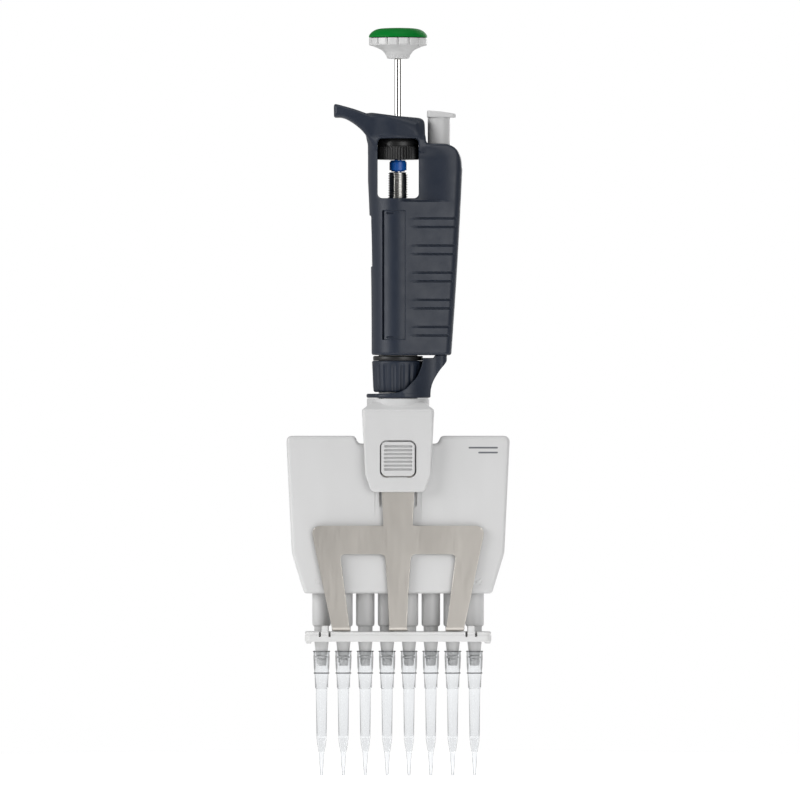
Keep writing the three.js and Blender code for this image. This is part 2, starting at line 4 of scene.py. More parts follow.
import bmesh
import bpy
import numpy as np
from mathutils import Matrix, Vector

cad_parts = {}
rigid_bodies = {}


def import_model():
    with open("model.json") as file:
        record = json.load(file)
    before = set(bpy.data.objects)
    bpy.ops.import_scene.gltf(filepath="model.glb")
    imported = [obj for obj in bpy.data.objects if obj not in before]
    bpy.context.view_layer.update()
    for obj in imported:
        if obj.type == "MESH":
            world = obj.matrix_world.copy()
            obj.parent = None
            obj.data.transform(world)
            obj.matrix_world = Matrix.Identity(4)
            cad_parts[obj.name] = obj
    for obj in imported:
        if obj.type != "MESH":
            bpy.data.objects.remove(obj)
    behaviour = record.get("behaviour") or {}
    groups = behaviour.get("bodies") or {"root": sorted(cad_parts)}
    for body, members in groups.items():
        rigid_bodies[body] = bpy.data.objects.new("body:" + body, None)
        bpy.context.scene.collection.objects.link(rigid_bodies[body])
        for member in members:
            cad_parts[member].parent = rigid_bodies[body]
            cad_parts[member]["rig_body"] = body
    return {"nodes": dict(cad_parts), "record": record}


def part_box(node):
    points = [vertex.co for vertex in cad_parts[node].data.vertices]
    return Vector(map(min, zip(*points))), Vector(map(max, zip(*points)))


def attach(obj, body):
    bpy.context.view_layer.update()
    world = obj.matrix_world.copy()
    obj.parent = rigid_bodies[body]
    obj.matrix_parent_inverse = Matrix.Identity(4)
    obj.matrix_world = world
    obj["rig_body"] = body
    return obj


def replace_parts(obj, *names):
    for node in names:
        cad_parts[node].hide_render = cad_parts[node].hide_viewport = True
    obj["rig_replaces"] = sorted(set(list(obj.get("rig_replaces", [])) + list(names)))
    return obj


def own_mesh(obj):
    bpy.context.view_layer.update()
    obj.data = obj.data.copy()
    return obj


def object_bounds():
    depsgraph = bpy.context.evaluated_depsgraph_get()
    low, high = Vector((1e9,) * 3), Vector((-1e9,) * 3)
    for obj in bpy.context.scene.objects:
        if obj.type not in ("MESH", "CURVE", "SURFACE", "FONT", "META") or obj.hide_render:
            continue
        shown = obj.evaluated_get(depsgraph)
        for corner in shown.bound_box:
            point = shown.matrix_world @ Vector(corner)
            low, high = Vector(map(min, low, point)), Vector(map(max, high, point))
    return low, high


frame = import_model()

CAD_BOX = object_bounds()
MM = 0.001
SLOTS = {part["node"]: part["material_slot"] for part in frame["record"]["subparts"]}
rod_low, rod_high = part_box("operating_rod")
PLUNGER_X = (rod_low.x + rod_high.x) / 2
CHANNEL_PITCH = 9  # millimetres


def span(node):
    """A CAD node's lowest and highest corner in millimetres about the plunger axis."""
    low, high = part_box(node)
    shift = Vector((PLUNGER_X, 0, 0))
    return (low - shift) / MM, (high - shift) / MM


# ---------- materials


class Nodes:
    """A material's node tree, with short calls to add and link nodes."""

    def __init__(self, name):
        self.material = bpy.data.materials.new(name)
        self.material.use_nodes = True
        self.tree = self.material.node_tree
        self.shader = self.tree.nodes["Principled BSDF"]
        self.place = self.add("ShaderNodeTexCoord").outputs["Object"]

    def add(self, kind, **settings):
        node = self.tree.nodes.new(kind)
        for key, value in settings.items():
            setattr(node, key, value)
        return node

    def link(self, output, socket):
        self.tree.links.new(output, socket)

    def noise(self, scale, detail=3.0, stretch=(1, 1, 1)):
        """Noise with about `scale` cells to a metre, stretched along an axis by a factor under 1."""
        mapping = self.add("ShaderNodeMapping")
        mapping.inputs["Scale"].default_value = stretch
        self.link(self.place, mapping.inputs["Vector"])
        noise = self.add("ShaderNodeTexNoise")
        noise.inputs["Scale"].default_value = scale
        noise.inputs["Detail"].default_value = detail
        self.link(mapping.outputs["Vector"], noise.inputs["Vector"])
        return noise.outputs["Fac"]

    def between(self, value, low, high, start=0.3, end=0.7):
        """The value brought from start..end to low..high."""
        ranged = self.add("ShaderNodeMapRange")
        for key, number in (("From Min", start), ("From Max", end), ("To Min", low), ("To Max", high)):
            ranged.inputs[key].default_value = number
        self.link(value, ranged.inputs["Value"])
        return ranged.outputs["Result"]

    def shade(self, value, dark, light):
        """Base colour from dark to light as the value goes from 0 to 1."""
        mix = self.add("ShaderNodeMix", data_type="RGBA")
        mix.inputs["A"].default_value = (*dark, 1)
        mix.inputs["B"].default_value = (*light, 1)
        self.link(value, mix.inputs["Factor"])
        self.link(mix.outputs["Result"], self.shader.inputs["Base Color"])

    def bump(self, value, depth, strength=1.0, below=None):
        """Bump of the given depth in metres, on top of another bump if one is given."""
        bump = self.add("ShaderNodeBump")
        bump.inputs["Distance"].default_value = depth
        bump.inputs["Strength"].default_value = strength
        self.link(value, bump.inputs["Height"])
        if below is not None:
            self.link(below, bump.inputs["Normal"])
        self.link(bump.outputs["Normal"], self.shader.inputs["Normal"])
        return bump.outputs["Normal"]

    def set(self, **numbers):
        for key, number in numbers.items():
            self.shader.inputs[key.replace("_", " ")].default_value = number


def linear(red, green, blue):
    """Display values from 0 to 255 as linear colour."""
    shares = [c / 255 for c in (red, green, blue)]
    return tuple(((c + 0.055) / 1.055) ** 2.4 if c > 0.04 else c / 12.92 for c in shares)


def plastic(name, dark, light, roughness, grain=9e-6, **numbers):
    """Moulded plastic: a fine eroded grain, faint flow marks, and uneven gloss."""
    nodes = Nodes(name)
    flow = nodes.noise(55, 2.0, (1, 1, 0.35))
    fine = nodes.noise(5200, 2.0)
    handling = nodes.noise(210, 5.0)
    nodes.shade(nodes.between(flow, 0, 1), dark, light)
    nodes.link(nodes.between(handling, *roughness), nodes.shader.inputs["Roughness"])
    waves = nodes.bump(nodes.noise(420, 1.0), grain * 2, 0.35)
    nodes.bump(fine, grain, 0.6, waves)
    nodes.set(**numbers)
    return nodes.material


def polished(name, dark, light, roughness, **numbers):
    """Turned and polished metal, with faint rings round the axis and small scratches."""
    nodes = Nodes(name)
    rings = nodes.noise(1400, 3.0, (0.05, 0.05, 1))
    scratches = nodes.noise(2600, 4.0, (1, 1, 0.04))
    nodes.shade(nodes.between(nodes.noise(160, 3.0), 0, 1), dark, light)
    nodes.link(nodes.between(scratches, *roughness), nodes.shader.inputs["Roughness"])
    nodes.bump(rings, 0.6e-6, 0.4)
    nodes.set(Metallic=1.0, **numbers)
    return nodes.material


def brushed(name, dark, light, roughness):
    """Sheet steel brushed up and down, with longer streaks and a slightly uneven tone."""
    nodes = Nodes(name)
    streaks = nodes.noise(3800, 3.0, (1, 1, 0.03))
    broad = nodes.noise(90, 3.0, (1, 1, 0.25))
    nodes.shade(nodes.between(broad, 0, 1), dark, light)
    nodes.link(nodes.between(streaks, *roughness), nodes.shader.inputs["Roughness"])
    nodes.bump(streaks, 4e-6, 0.5)
    nodes.set(Metallic=0.92)
    return nodes.material


def clear(name, tint, roughness, absorption):
    """Clear moulded polypropylene: faintly cloudy, with flow lines along its length. It takes up
    some light by the length of plastic passed through, so that its edges are grey. The absorption is
    for each metre."""
    nodes = Nodes(name)
    cloud = nodes.noise(300, 3.0, (1, 1, 0.3))
    nodes.shade(nodes.between(cloud, 0, 1), tuple(c * 0.97 for c in tint), tint)
    nodes.link(nodes.between(cloud, *roughness), nodes.shader.inputs["Roughness"])
    nodes.bump(nodes.noise(900, 2.0, (1, 1, 0.1)), 1e-6, 0.3)
    nodes.set(Transmission_Weight=1.0, IOR=1.18, Specular_IOR_Level=0.5)
    depth = nodes.add("ShaderNodeVolumeAbsorption")
    depth.inputs["Color"].default_value = (0, 0, 0, 1)
    depth.inputs["Density"].default_value = absorption
    nodes.link(depth.outputs["Volume"], nodes.tree.nodes["Material Output"].inputs["Volume"])
    return nodes.material


FINISH = {
    "slate_plastic": plastic("slate plastic", linear(26, 34, 48), linear(31, 39, 53), (0.38, 0.48), 12e-6,
                             Specular_IOR_Level=0.42),
    "black_plastic": plastic("black plastic", linear(26, 26, 26), linear(32, 32, 32), (0.34, 0.46),
                             Specular_IOR_Level=0.4),
    "white_plastic": plastic("white plastic", linear(206, 206, 205), linear(212, 212, 212), (0.32, 0.42),
                             5e-6),
    "light_plastic": plastic("light grey plastic", linear(200, 200, 200), linear(206, 206, 206), (0.38, 0.48),
                             7e-6),
    "grey_plastic": plastic("grey plastic", linear(192, 192, 192), linear(200, 200, 200), (0.36, 0.46), 6e-6),
    "green_plastic": plastic("green plastic", linear(0, 110, 36), linear(0, 120, 42), (0.45, 0.55), 5e-6,
                             Specular_IOR_Level=0.08),
    "blue_plastic": plastic("blue plastic", linear(8, 84, 170), linear(12, 92, 180), (0.32, 0.42), 5e-6),
    "bright_steel": polished("polished steel", linear(196, 195, 192), linear(212, 211, 208), (0.1, 0.17)),
    "spring_steel": polished("spring steel", linear(150, 150, 152), linear(178, 178, 178), (0.2, 0.32)),
    "plate_steel": brushed("brushed steel", linear(198, 193, 186), linear(209, 204, 197), (0.3, 0.4)),
    "brass": polished("brass", linear(186, 152, 92), linear(205, 170, 108), (0.16, 0.3)),
    "clear_plastic": clear("clear polypropylene", linear(251, 252, 253), (0.03, 0.08), 190),
}
# The rim and the ring of a tip trap the light, so they look nearly black from the side. Their plastic absorbs
# far more strongly than the tip's, so this darkness is painted shade in the material.
RIM_PAINTED_SHADE_PLASTIC = clear("clear polypropylene rim", linear(251, 252, 253), (0.06, 0.12), 3000)
INK = plastic("grey print", linear(96, 98, 102), linear(108, 110, 114), (0.5, 0.6), 2e-6)
DIGIT_INK = plastic("black print", linear(20, 20, 22), linear(28, 28, 30), (0.5, 0.6), 2e-6)


# ---------- meshes


def new_piece(name, points, faces, normals=None, sharp=35):
    """A mesh object from points in millimetres about the plunger axis."""
    mesh = bpy.data.meshes.new(name)
    points = (np.asarray(points, float) * MM + (PLUNGER_X, 0, 0)).astype(np.float32)
    mesh.from_pydata(points.tolist(), [], faces)
    mesh.shade_smooth()
    if normals is None:
        mesh.set_sharp_from_angle(angle=math.radians(sharp))
    else:
        mesh.normals_split_custom_set_from_vertices(normals.tolist())
    piece = bpy.data.objects.new(name, mesh)
    bpy.context.scene.collection.objects.link(piece)
    return piece


def stands_for(piece, node):
    """The piece takes a CAD node's place, body and finish."""
    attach(piece, frame["nodes"][node]["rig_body"])
    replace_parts(piece, node)
    piece.data.materials.append(FINISH[SLOTS[node]])
    return piece


def belongs_to(piece, node, slot, material=None):
    """The piece is extra detail that rides with a CAD node."""
    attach(piece, frame["nodes"][node]["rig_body"])
    piece.data.materials.append(material or FINISH[slot])
    return piece


def rounded(points, radius=0.3, steps=3, closed=False):
    """The polyline with its corners rounded. A point may hold its own radius as a third number."""
    count = len(points)
    result = []
    for i, (x, y, *own) in enumerate(points):
        r = own[0] if own else radius
        if r <= 0 or (not closed and i in (0, count - 1)):
            result.append((x, y))
            continue
        here = np.array((x, y), float)
        before = np.array(points[i - 1][:2], float) - here
        after = np.array(points[(i + 1) % count][:2], float) - here
        reach = min(r, 0.45 * np.linalg.norm(before), 0.45 * np.linalg.norm(after))
        start = here + before / np.linalg.norm(before) * reach
        end = here + after / np.linalg.norm(after) * reach
        for t in np.linspace(0, 1, steps + 1):
            result.append(tuple((1 - t) ** 2 * start + 2 * t * (1 - t) * here + t * t * end))
    return result


def dense(points, step):
    """The polyline with points added, so that none are further apart than the step."""
    result = [points[0]]
    for a, b in zip(points, points[1:]):
        parts = max(1, math.ceil(math.dist(a, b) / step))
        result += [tuple(np.add(a, np.subtract(b, a) * k / parts)) for k in range(1, parts + 1)]
    return result


def turned(name, profile, segments=72, relief=None, x=0.0, sharp=35):
    """A piece turned about a vertical axis from (radius, z) points, up its outside from the bottom.
    relief gives how far the surface stands out at an angle, a height and a radius."""
    angle = np.linspace(0, 2 * np.pi, segments, endpoint=False)[None, :]
    radius = np.array([p[0] for p in profile], float)[:, None]
    height = np.array([p[1] for p in profile], float)[:, None]
    r = radius + (relief(angle, height, radius) if relief else 0)
    points = np.stack(np.broadcast_arrays(x + r * np.cos(angle), r * np.sin(angle), height), -1)
    rows = len(profile)
    faces = [
        (i * segments + j, i * segments + (j + 1) % segments,
         (i + 1) * segments + (j + 1) % segments, (i + 1) * segments + j)
        for i in range(rows - 1) for j in range(segments)
    ]
    piece = new_piece(name, points.reshape(-1, 3), faces, sharp=sharp)
    work = bmesh.new()
    work.from_mesh(piece.data)
    bmesh.ops.remove_doubles(work, verts=work.verts, dist=1e-6)
    work.to_mesh(piece.data)
    work.free()
    piece.data.set_sharp_from_angle(angle=math.radians(sharp))
    return piece


def coil(name, radius, wire, low, high, turns, x=0.0):
    """A compression spring: a round wire wound round a vertical axis, with close end turns."""
    per_turn, round_wire = 28, 8
    t = np.linspace(0, 1, int(turns * per_turn) + 1)
    end = 1.0 / turns
    rise = np.clip((t - end) / (1 - 2 * end), 0, 1)
    lead = np.clip(t / end, 0, 1) + np.clip((t - 1 + end) / end, 0, 1)
    open_length = high - low - 4 * wire
    z = low + wire + wire * lead + open_length * rise
    turn = 2 * np.pi * turns * t
    section = np.linspace(0, 2 * np.pi, round_wire, endpoint=False)
    r = radius + wire * np.cos(section)[None, :]
    points = np.stack([x + r * np.cos(turn)[:, None], r * np.sin(turn)[:, None],
                       z[:, None] + wire * np.sin(section)[None, :] + 0 * r], -1)
    n = len(t)
    faces = [
        (i * round_wire + j, (i + 1) * round_wire + j,
         (i + 1) * round_wire + (j + 1) % round_wire, i * round_wire + (j + 1) % round_wire)
        for i in range(n - 1) for j in range(round_wire)
    ]
    faces.append(tuple(range(round_wire)))
    faces.append(tuple((n - 1) * round_wire + j for j in reversed(range(round_wire))))
    return new_piece(name, points.reshape(-1, 3), faces, sharp=60)


# ---------- distance fields
# A field is negative inside a shape and grows by about 1 a millimetre outwards.


def common(a, b, r=0.0):
    """What two shapes share, with the edge between them rounded to radius r."""
    if r <= 0:
        return np.maximum(a, b)
    return np.minimum(-r, np.maximum(a, b)) + np.hypot(np.maximum(a + r, 0), np.maximum(b + r, 0))


def joined(a, b, r=0.0):
    """Two shapes as one, with the corner between them filled to radius r."""
    return -common(-a, -b, r)


def carved(a, tool, r=0.0):
    """The first shape without the second, with the edge rounded to radius r."""
    return common(a, -tool, r)


def slab(v, low, high):
    return np.abs(v - (low + high) / 2) - (high - low) / 2


def rectangle(u, v, u0, u1, v0, v1, r=0.0):
    """A rectangle in two coordinates, with round corners."""
    du, dv = slab(u, u0 + r, u1 - r), slab(v, v0 + r, v1 - r)
    return np.hypot(np.maximum(du, 0), np.maximum(dv, 0)) + np.minimum(np.maximum(du, dv), 0) - r


def outline(points):
    """The field of a closed polygon in two coordinates."""
    corners = np.array(points, float)

    def field(u, v):
        nearest = np.full(np.broadcast(u, v).shape, 1e9)
        inside = np.zeros(nearest.shape, bool)
        for (au, av), (bu, bv) in zip(corners, np.roll(corners, -1, axis=0)):
            eu, ev = bu - au, bv - av
            wu, wv = u - au, v - av
            t = np.clip((wu * eu + wv * ev) / (eu * eu + ev * ev + 1e-12), 0, 1)
            nearest = np.minimum(nearest, (wu - t * eu) ** 2 + (wv - t * ev) ** 2)
            inside ^= ((av <= v) != (bv <= v)) & ((eu * wv - ev * wu > 0) == (bv > av))
        return np.where(inside, -1, 1) * np.sqrt(nearest)

    return field


def smooth_line(points, parts=6):
    """A curve through points (Catmull-Rom), with its ends included."""
    p = np.array([points[0], *points, points[-1]], float)
    result = []
    for a, b, c, d in zip(p, p[1:], p[2:], p[3:]):
        for t in np.linspace(0, 1, parts, endpoint=False):
            result.append(tuple(0.5 * (2 * b + (c - a) * t + (2 * a - 5 * b + 4 * c - d) * t**2
                                       + (3 * b - a - 3 * c + d) * t**3)))
    return [*result, tuple(p[-1])]


def ease(v, start, end):
    """0 before start and 1 after end, turning smoothly between them."""
    t = np.clip((v - start) / (end - start), 0, 1)
    return t * t * (3 - 2 * t)


def dent(distance, half_width):
    """1 in the middle of a groove and 0 at its edges."""
    return np.clip(1 - (distance / half_width) ** 2, 0, 1)


def off_middle(turns):
    """How far a number is from the middle between two whole numbers: 0.5 at a whole number."""
    return np.abs(turns % 1 - 0.5)


def steps(low, high, coarse, fine_at=(), fine=0.18, reach=0.7):
    """Grid lines from low to high, closer together round the given values."""
    lines = np.arange(low, high + coarse, coarse)
    for value in fine_at:
        lines = lines[np.abs(lines - value) > reach]
        lines = np.append(lines, np.arange(value - reach, value + reach + fine / 2, fine))
    return np.unique(np.round(lines, 4))


def sculpt(name, field, xs, ys, zs):
    """The surface where a field is zero, as a mesh of quads with one vertex in each grid cell it
    crosses. Each vertex is then moved on to the surface, and its normal is the field's slope."""
    axes = (xs, ys, zs)
    shape = tuple(len(a) for a in axes)
    values = np.broadcast_to(field(xs[:, None, None], ys[None, :, None], zs[None, None, :]), shape)
    inside = values < 0
    cells = tuple(n - 1 for n in shape)
    total = np.zeros((int(np.prod(cells)), 3))
    count = np.zeros(int(np.prod(cells)))
    quads = []
    for axis in range(3):
        low = [slice(None)] * 3
        high = [slice(None)] * 3
        low[axis], high[axis] = slice(0, -1), slice(1, None)
        start, end = values[tuple(low)], values[tuple(high)]
        index = np.argwhere(inside[tuple(low)] != inside[tuple(high)])
        others = [a for a in range(3) if a != axis]
        index = index[np.all([(index[:, a] > 0) & (index[:, a] < cells[a]) for a in others], axis=0)]
        a, b = start[tuple(index.T)], end[tuple(index.T)]
        share = a / (a - b)
        where = np.stack([axes[k][index[:, k]] for k in range(3)], -1)
        where[:, axis] += share * (axes[axis][index[:, axis] + 1] - axes[axis][index[:, axis]])
        around = []
        for du, dv in ((0, 0), (1, 0), (1, 1), (0, 1)):
            cell = index.copy()
            cell[:, others[0]] -= du
            cell[:, others[1]] -= dv
            flat = np.ravel_multi_index(tuple(cell.T), cells)
            around.append(flat)
            count += np.bincount(flat, minlength=len(count))
            for k in range(3):
                total[:, k] += np.bincount(flat, weights=where[:, k], minlength=len(count))
        quad = np.stack(around, -1)
        turn = (a < 0) == (axis == 1)
        quads.append(np.where(turn[:, None], quad[:, ::-1], quad))
    used = np.flatnonzero(count)
    number = np.zeros(len(count), int)
    number[used] = np.arange(len(used))
    points = total[used] / count[used][:, None]
    for _ in range(2):
        slope = gradient(field, points)
        distance = field(*points.T)
        step = distance / np.maximum((slope**2).sum(1), 0.25)
        points -= np.clip(step, -0.4, 0.4)[:, None] * slope
    slope = gradient(field, points)
    slope /= np.linalg.norm(slope, axis=1)[:, None] + 1e-12
    faces = number[np.concatenate(quads)]
    return new_piece(name, points, faces.tolist(), slope)


def sculpt_round(name, node, field, *axes, margins=(1, 1, 1)):
    """A node's stand-in, sculpted on a grid round its CAD box. Each axis is what `steps` takes after
    its ends."""
    low, high = span(node)
    lines = [steps(low[k] - margins[k], high[k] + margins[k], *axes[k]) for k in range(3)]
    return stands_for(sculpt(name, field, *lines), node)


def gradient(field, points, h=0.03):
    """A field's slope at points, from differences over 2 h."""
    x, y, z = points.T
    return np.stack([
        field(x + h, y, z) - field(x - h, y, z),
        field(x, y + h, z) - field(x, y - h, z),
        field(x, y, z + h) - field(x, y, z - h),
    ], -1) / (2 * h)


# ---------- handle

handle_low, handle_high = span("handle_shell")
HANDLE_BOTTOM = handle_low.z
GRIP_R = handle_high.y  # round left half of the grip
GRIP_RIGHT = 26.5
GRIP_TOP = -8.0
HOOD_R = 11.5
HOOD_SIDE = 10.9  # flat sides of the hood right of the plunger axis
HOOD_RIGHT = 11.5
HOOD_CONE = (-6.3, -19.1, 18.9)  # crosswise cone that draws in the hood's upper right corner
GRIP_SLANT = math.radians(9.4)  # of each side face, which narrows to the right
WINDOW = (-8.4, 8.5, -33.3, -8.7)  # x and z ranges of the see-through window
PANEL = (-6.4, 3.0, -91.5, -38.4)  # x and z ranges of the sunk label panel
BAND_TOP = -43.4  # middle of the first grip band
BAND_PITCH = 11.15
BAND_HALF = 1.75
BANDS = [BAND_TOP - i * BAND_PITCH for i in range(5)]
WHEEL_R = span("thumbwheel")[1].y  # wider than the window
WHEEL_STEP = -11.8  # top of the wheel's knurled part
EJECTOR_X = (span("ejector_rod")[0].x + span("ejector_rod")[1].x) / 2
LENS_LOW, LENS_HIGH = span("volumeter_lens")
LENS_HALF = 3.6
# Round holes in the handle: radius, bottom and top.
PLUNGER_BORES = [
    (WHEEL_R + 0.35, WINDOW[2], WHEEL_STEP + 0.2),  # the wheel's knurled part
    (WHEEL_R, WHEEL_STEP, WINDOW[3]),  # the wheel's plain rim
    (2.2, -10, 9),  # operating rod
    (4.6, -36, -32),  # micrometer screw
    (6.4, -40, -34.5),  # micrometer nut
    (9.9, -120, -39),  # counter and plunger
]
EJECTOR_BORES = [
    (5.0, -39.5, 0),  # button's stem, and the spring under it
    (3.0, -120, -38),  # ejector rod
    (4.2, -120, -92),  # bush
]
PINION_POCKET = (8, 12.9, -2.4, 2.4, -62, -41)  # x, y and z ranges round the carry pinions
GROOVE_HALF = 0.42
PANEL_DEPTH = 0.5
SCOOP_DEPTH = 2.4
WINDOW_RECESS = 3.0  # depth of the wheel's chamber behind each side of the window, from the middle


def grip_left(z):
    down = np.clip((-z - 26) / 72, 0, 1)
    return 10.9 + 1.5 * (1 - down) ** 2.5


def grip_right(z):
    down = np.clip((-z - 20.5) / 77.3, 0, 1)
    return GRIP_RIGHT - 4.6 * down + 0.3 * np.sin(np.pi * down)


BODY_OUTLINE = outline([
    (-14, HANDLE_BOTTOM), (28, HANDLE_BOTTOM), (28, -21),
    *smooth_line([(26.7, -20.5), (26.1, -17.1), (24, -13.1), (20.8, -11.2), (17.5, -10.85)]),
    *smooth_line([(13.2, -10.75), (12.0, -10.45), (11.5, -9.6)]),
    *smooth_line([(11.25, -4.5), (10.9, -2), (9.6, -0.5), (7.4, -0.1)]),
    *smooth_line([(-1.2, 0.45), (-11.1, 1.6), (-14, 2.3)]),
])
HOOK_OUTLINE = outline([
    (8, -9), (8, -2.4),
    *smooth_line([(0, -1.2), (-7, 0.1), (-11.5, 1.15), (-14.5, 2.2), (-18.2, 3.5), (-24.8, 5.35),
                  (-26.4, 5.45), (-26.85, 4.3)]),
    *smooth_line([(-26.75, 0.9), (-26.5, 0.15), (-25.9, 0), (-23.6, 0), (-21.6, -0.5), (-19.5, -1.6),
                  (-17.3, -3.1), (-15.2, -4.9), (-13.6, -6.7), (-11.8, -9), (-9, -11.5)]),
])


def relief(x, z):
    """How far the side faces are sunk: the thumb scoop, the label panel and the grip bands."""
    scoop = (SCOOP_DEPTH * (1 - ease(x, 9, 22.5)) * ease(z, -34.9, -34.1) * (1 - ease(z, -17.5, -11.5))
             * ease(x, 0, 6))
    panel = rectangle(x, z, *PANEL, 0.4)
    sunk = PANEL_DEPTH * (1 - ease(panel, -0.2, 0.12))
    top, bottom = PANEL[3] - 1.0, PANEL[2] + 1.0
    line = dent(x - PANEL[0] - 0.35, GROOVE_HALF) * (1 - ease(slab(z, PANEL[2], PANEL[3]), -0.2, 0.1))
    tabs = sum(dent(z - end, GROOVE_HALF) for end in (top, bottom))
    tabs = tabs * (1 - ease(slab(x, -4.7, -1.6), -0.3, 0.1))
    right = grip_right(z) - 1.3
    before_edge = 1 - ease(x, right - 0.6, right + 0.1)
    fade, raised = ease(x, 4.6, 10) * before_edge, ease(x, 3.5, 7) * before_edge
    lines = 0
    for middle in BANDS:
        away = np.abs(z - middle)
        lines = lines + fade * 0.5 * dent(away - BAND_HALF, GROOVE_HALF)
        lines = lines - raised * 0.14 * (1 - ease(away, BAND_HALF - 0.3, BAND_HALF + 0.3))
    return scoop + sunk + 0.7 * line + 0.5 * tabs + lines


def handle_field(x, y, z):
    side = np.abs(y)
    u = np.where(x < 0, x * (GRIP_R / grip_left(z)), x * (GRIP_RIGHT / grip_right(z)))
    along = u * math.cos(GRIP_SLANT) - side * math.sin(GRIP_SLANT)
    across = side * math.cos(GRIP_SLANT) + u * math.sin(GRIP_SLANT)
    plan = np.where(along < 0, np.hypot(u, y), across) - GRIP_R + relief(x, z)
    grip = common(common(plan, u - GRIP_RIGHT, 3.4), z - GRIP_TOP, 1.5)
    centre_x, centre_z, radius = HOOD_CONE
    cone = (np.hypot(x - centre_x, z - centre_z) - radius - 1.1 * (HOOD_SIDE - side)) * 0.67
    square = common(common(side - HOOD_SIDE, x - HOOD_RIGHT, 3.5), -x)
    hood = joined(np.hypot(np.where(x < 0, x * (HOOD_SIDE / HOOD_R), x), y) - HOOD_SIDE, square)
    hood = common(common(hood, cone, 0.35), -14 - z)
    body = common(joined(grip, hood, 1.2), BODY_OUTLINE(x, z), 1.0)
    narrow = np.clip((x + 24.8) / 29.8, 0, 1)
    half = 6.5 + 3.5 * (1 - (1 - narrow) ** 2)
    plan = common(side - half, -27 - x, 2.5)
    body = joined(body, common(plan, HOOK_OUTLINE(x, z), 1.6), 2.6)
    recess = WINDOW_RECESS * ease(z, WHEEL_STEP, WHEEL_STEP + 0.1)  # closed behind the wheel's plain rim
    body = carved(body, common(rectangle(x, z, *WINDOW, 2.0), recess - side), 0.5)
    for centre, bores in ((0, PLUNGER_BORES), (EJECTOR_X, EJECTOR_BORES)):
        bore = np.hypot(x - centre, y)
        for radius, low, high in bores:
            body = carved(body, common(bore - radius, slab(z, low, high)), 0.25)
    opening = rectangle(y, z, -LENS_HALF, LENS_HALF, LENS_LOW.z - 0.3, LENS_HIGH.z + 0.3, 0.6)
    body = carved(body, common(opening, x + 6), 0.3)
    x0, x1, y0, y1, z0, z1 = PINION_POCKET
    return carved(body, common(common(slab(y, y0, y1), slab(z, z0, z1)), slab(x, x0, x1)))


def make_handle():
    edges = [middle + sign * BAND_HALF for middle in BANDS for sign in (-1, 1)]
    return stands_for(sculpt(
        "handle", handle_field,
        steps(-28.2, 28.2, 0.5, (PANEL[0] + 0.3, PANEL[1]), 0.15, 0.6),
        steps(-13.4, 13.4, 0.5),
        steps(HANDLE_BOTTOM - 1, 7, 0.5, [*edges, PANEL[3] - 0.6, PANEL[2] + 0.6, -34.5], 0.17, 0.68),
    ), "handle_shell")


def make_volumeter():
    """The lens, and the three number drums with their digits. At rest they read 300."""
    outer = -LENS_LOW.x
    edge = math.asin(LENS_HIGH.y / outer)
    angles = np.linspace(np.pi - edge, np.pi + edge, 17)
    rim = [(a, LENS_LOW.z) for a in angles] + [(a, LENS_HIGH.z) for a in reversed(angles)]
    ring = [(r, a, z) for r in (outer - 0.9, outer) for a, z in rim]
    points = [(r * math.cos(a), r * math.sin(a), z) for r, a, z in ring]
    n = len(rim)
    faces = [(i, (i + 1) % n, n + (i + 1) % n, n + i) for i in range(n)]
    rows = len(angles)
    for base, turn in ((0, False), (n, True)):
        for i in range(rows - 1):
            quad = (base + i, base + i + 1, base + 2 * rows - 2 - i, base + 2 * rows - 1 - i)
            faces.append(quad if turn else quad[::-1])
    stands_for(new_piece("volumeter_window", points, faces), "volumeter_lens")
    for node, first, count in (("hundreds_drum", 3, 10), ("tens_drum", 0, 10), ("units_drum", 0, 20)):
        low, high = span(node)
        r = high.x
        profile = [(5.9, low.z), (r, low.z), (r, high.z), (5.9, high.z), (5.9, low.z)]
        stands_for(turned(node.replace("_drum", "_wheel"), rounded(profile, 0.35, 3), 80), node)
        make_digits(node, r + 0.03, (low.z + high.z) / 2, first, count)


def make_digits(node, radius, middle, first, count):
    """The digits printed round a drum, counting down as the angle grows."""
    points, faces = [], []
    for k in range(count):
        text = bpy.data.curves.new("digit", "FONT")
        text.body = str((first - k) % 10)
        text.size = 4.4 if count == 10 else 3.3
        text.align_x, text.align_y = "CENTER", "CENTER"
        holder = bpy.data.objects.new("digit", text)
        bpy.context.scene.collection.objects.link(holder)
        glyph = holder.to_mesh()
        start = len(points)
        for v in glyph.vertices:
            angle = np.pi + 2 * np.pi * k / count + v.co.x / radius
            points.append((radius * math.cos(angle), radius * math.sin(angle), middle + v.co.y))
        faces += [tuple(start + i for i in face.vertices) for face in glyph.polygons]
        holder.to_mesh_clear()
        bpy.data.objects.remove(holder)
        bpy.data.curves.remove(text)
    belongs_to(new_piece(node.replace("_drum", "_digits"), points, faces), node, "black_plastic", DIGIT_INK)


# ---------- plunger and micrometer

BUTTON_FLUTES = 16
KNURLS = 44
SHAFT_R = 1.95  # hole round the operating rod


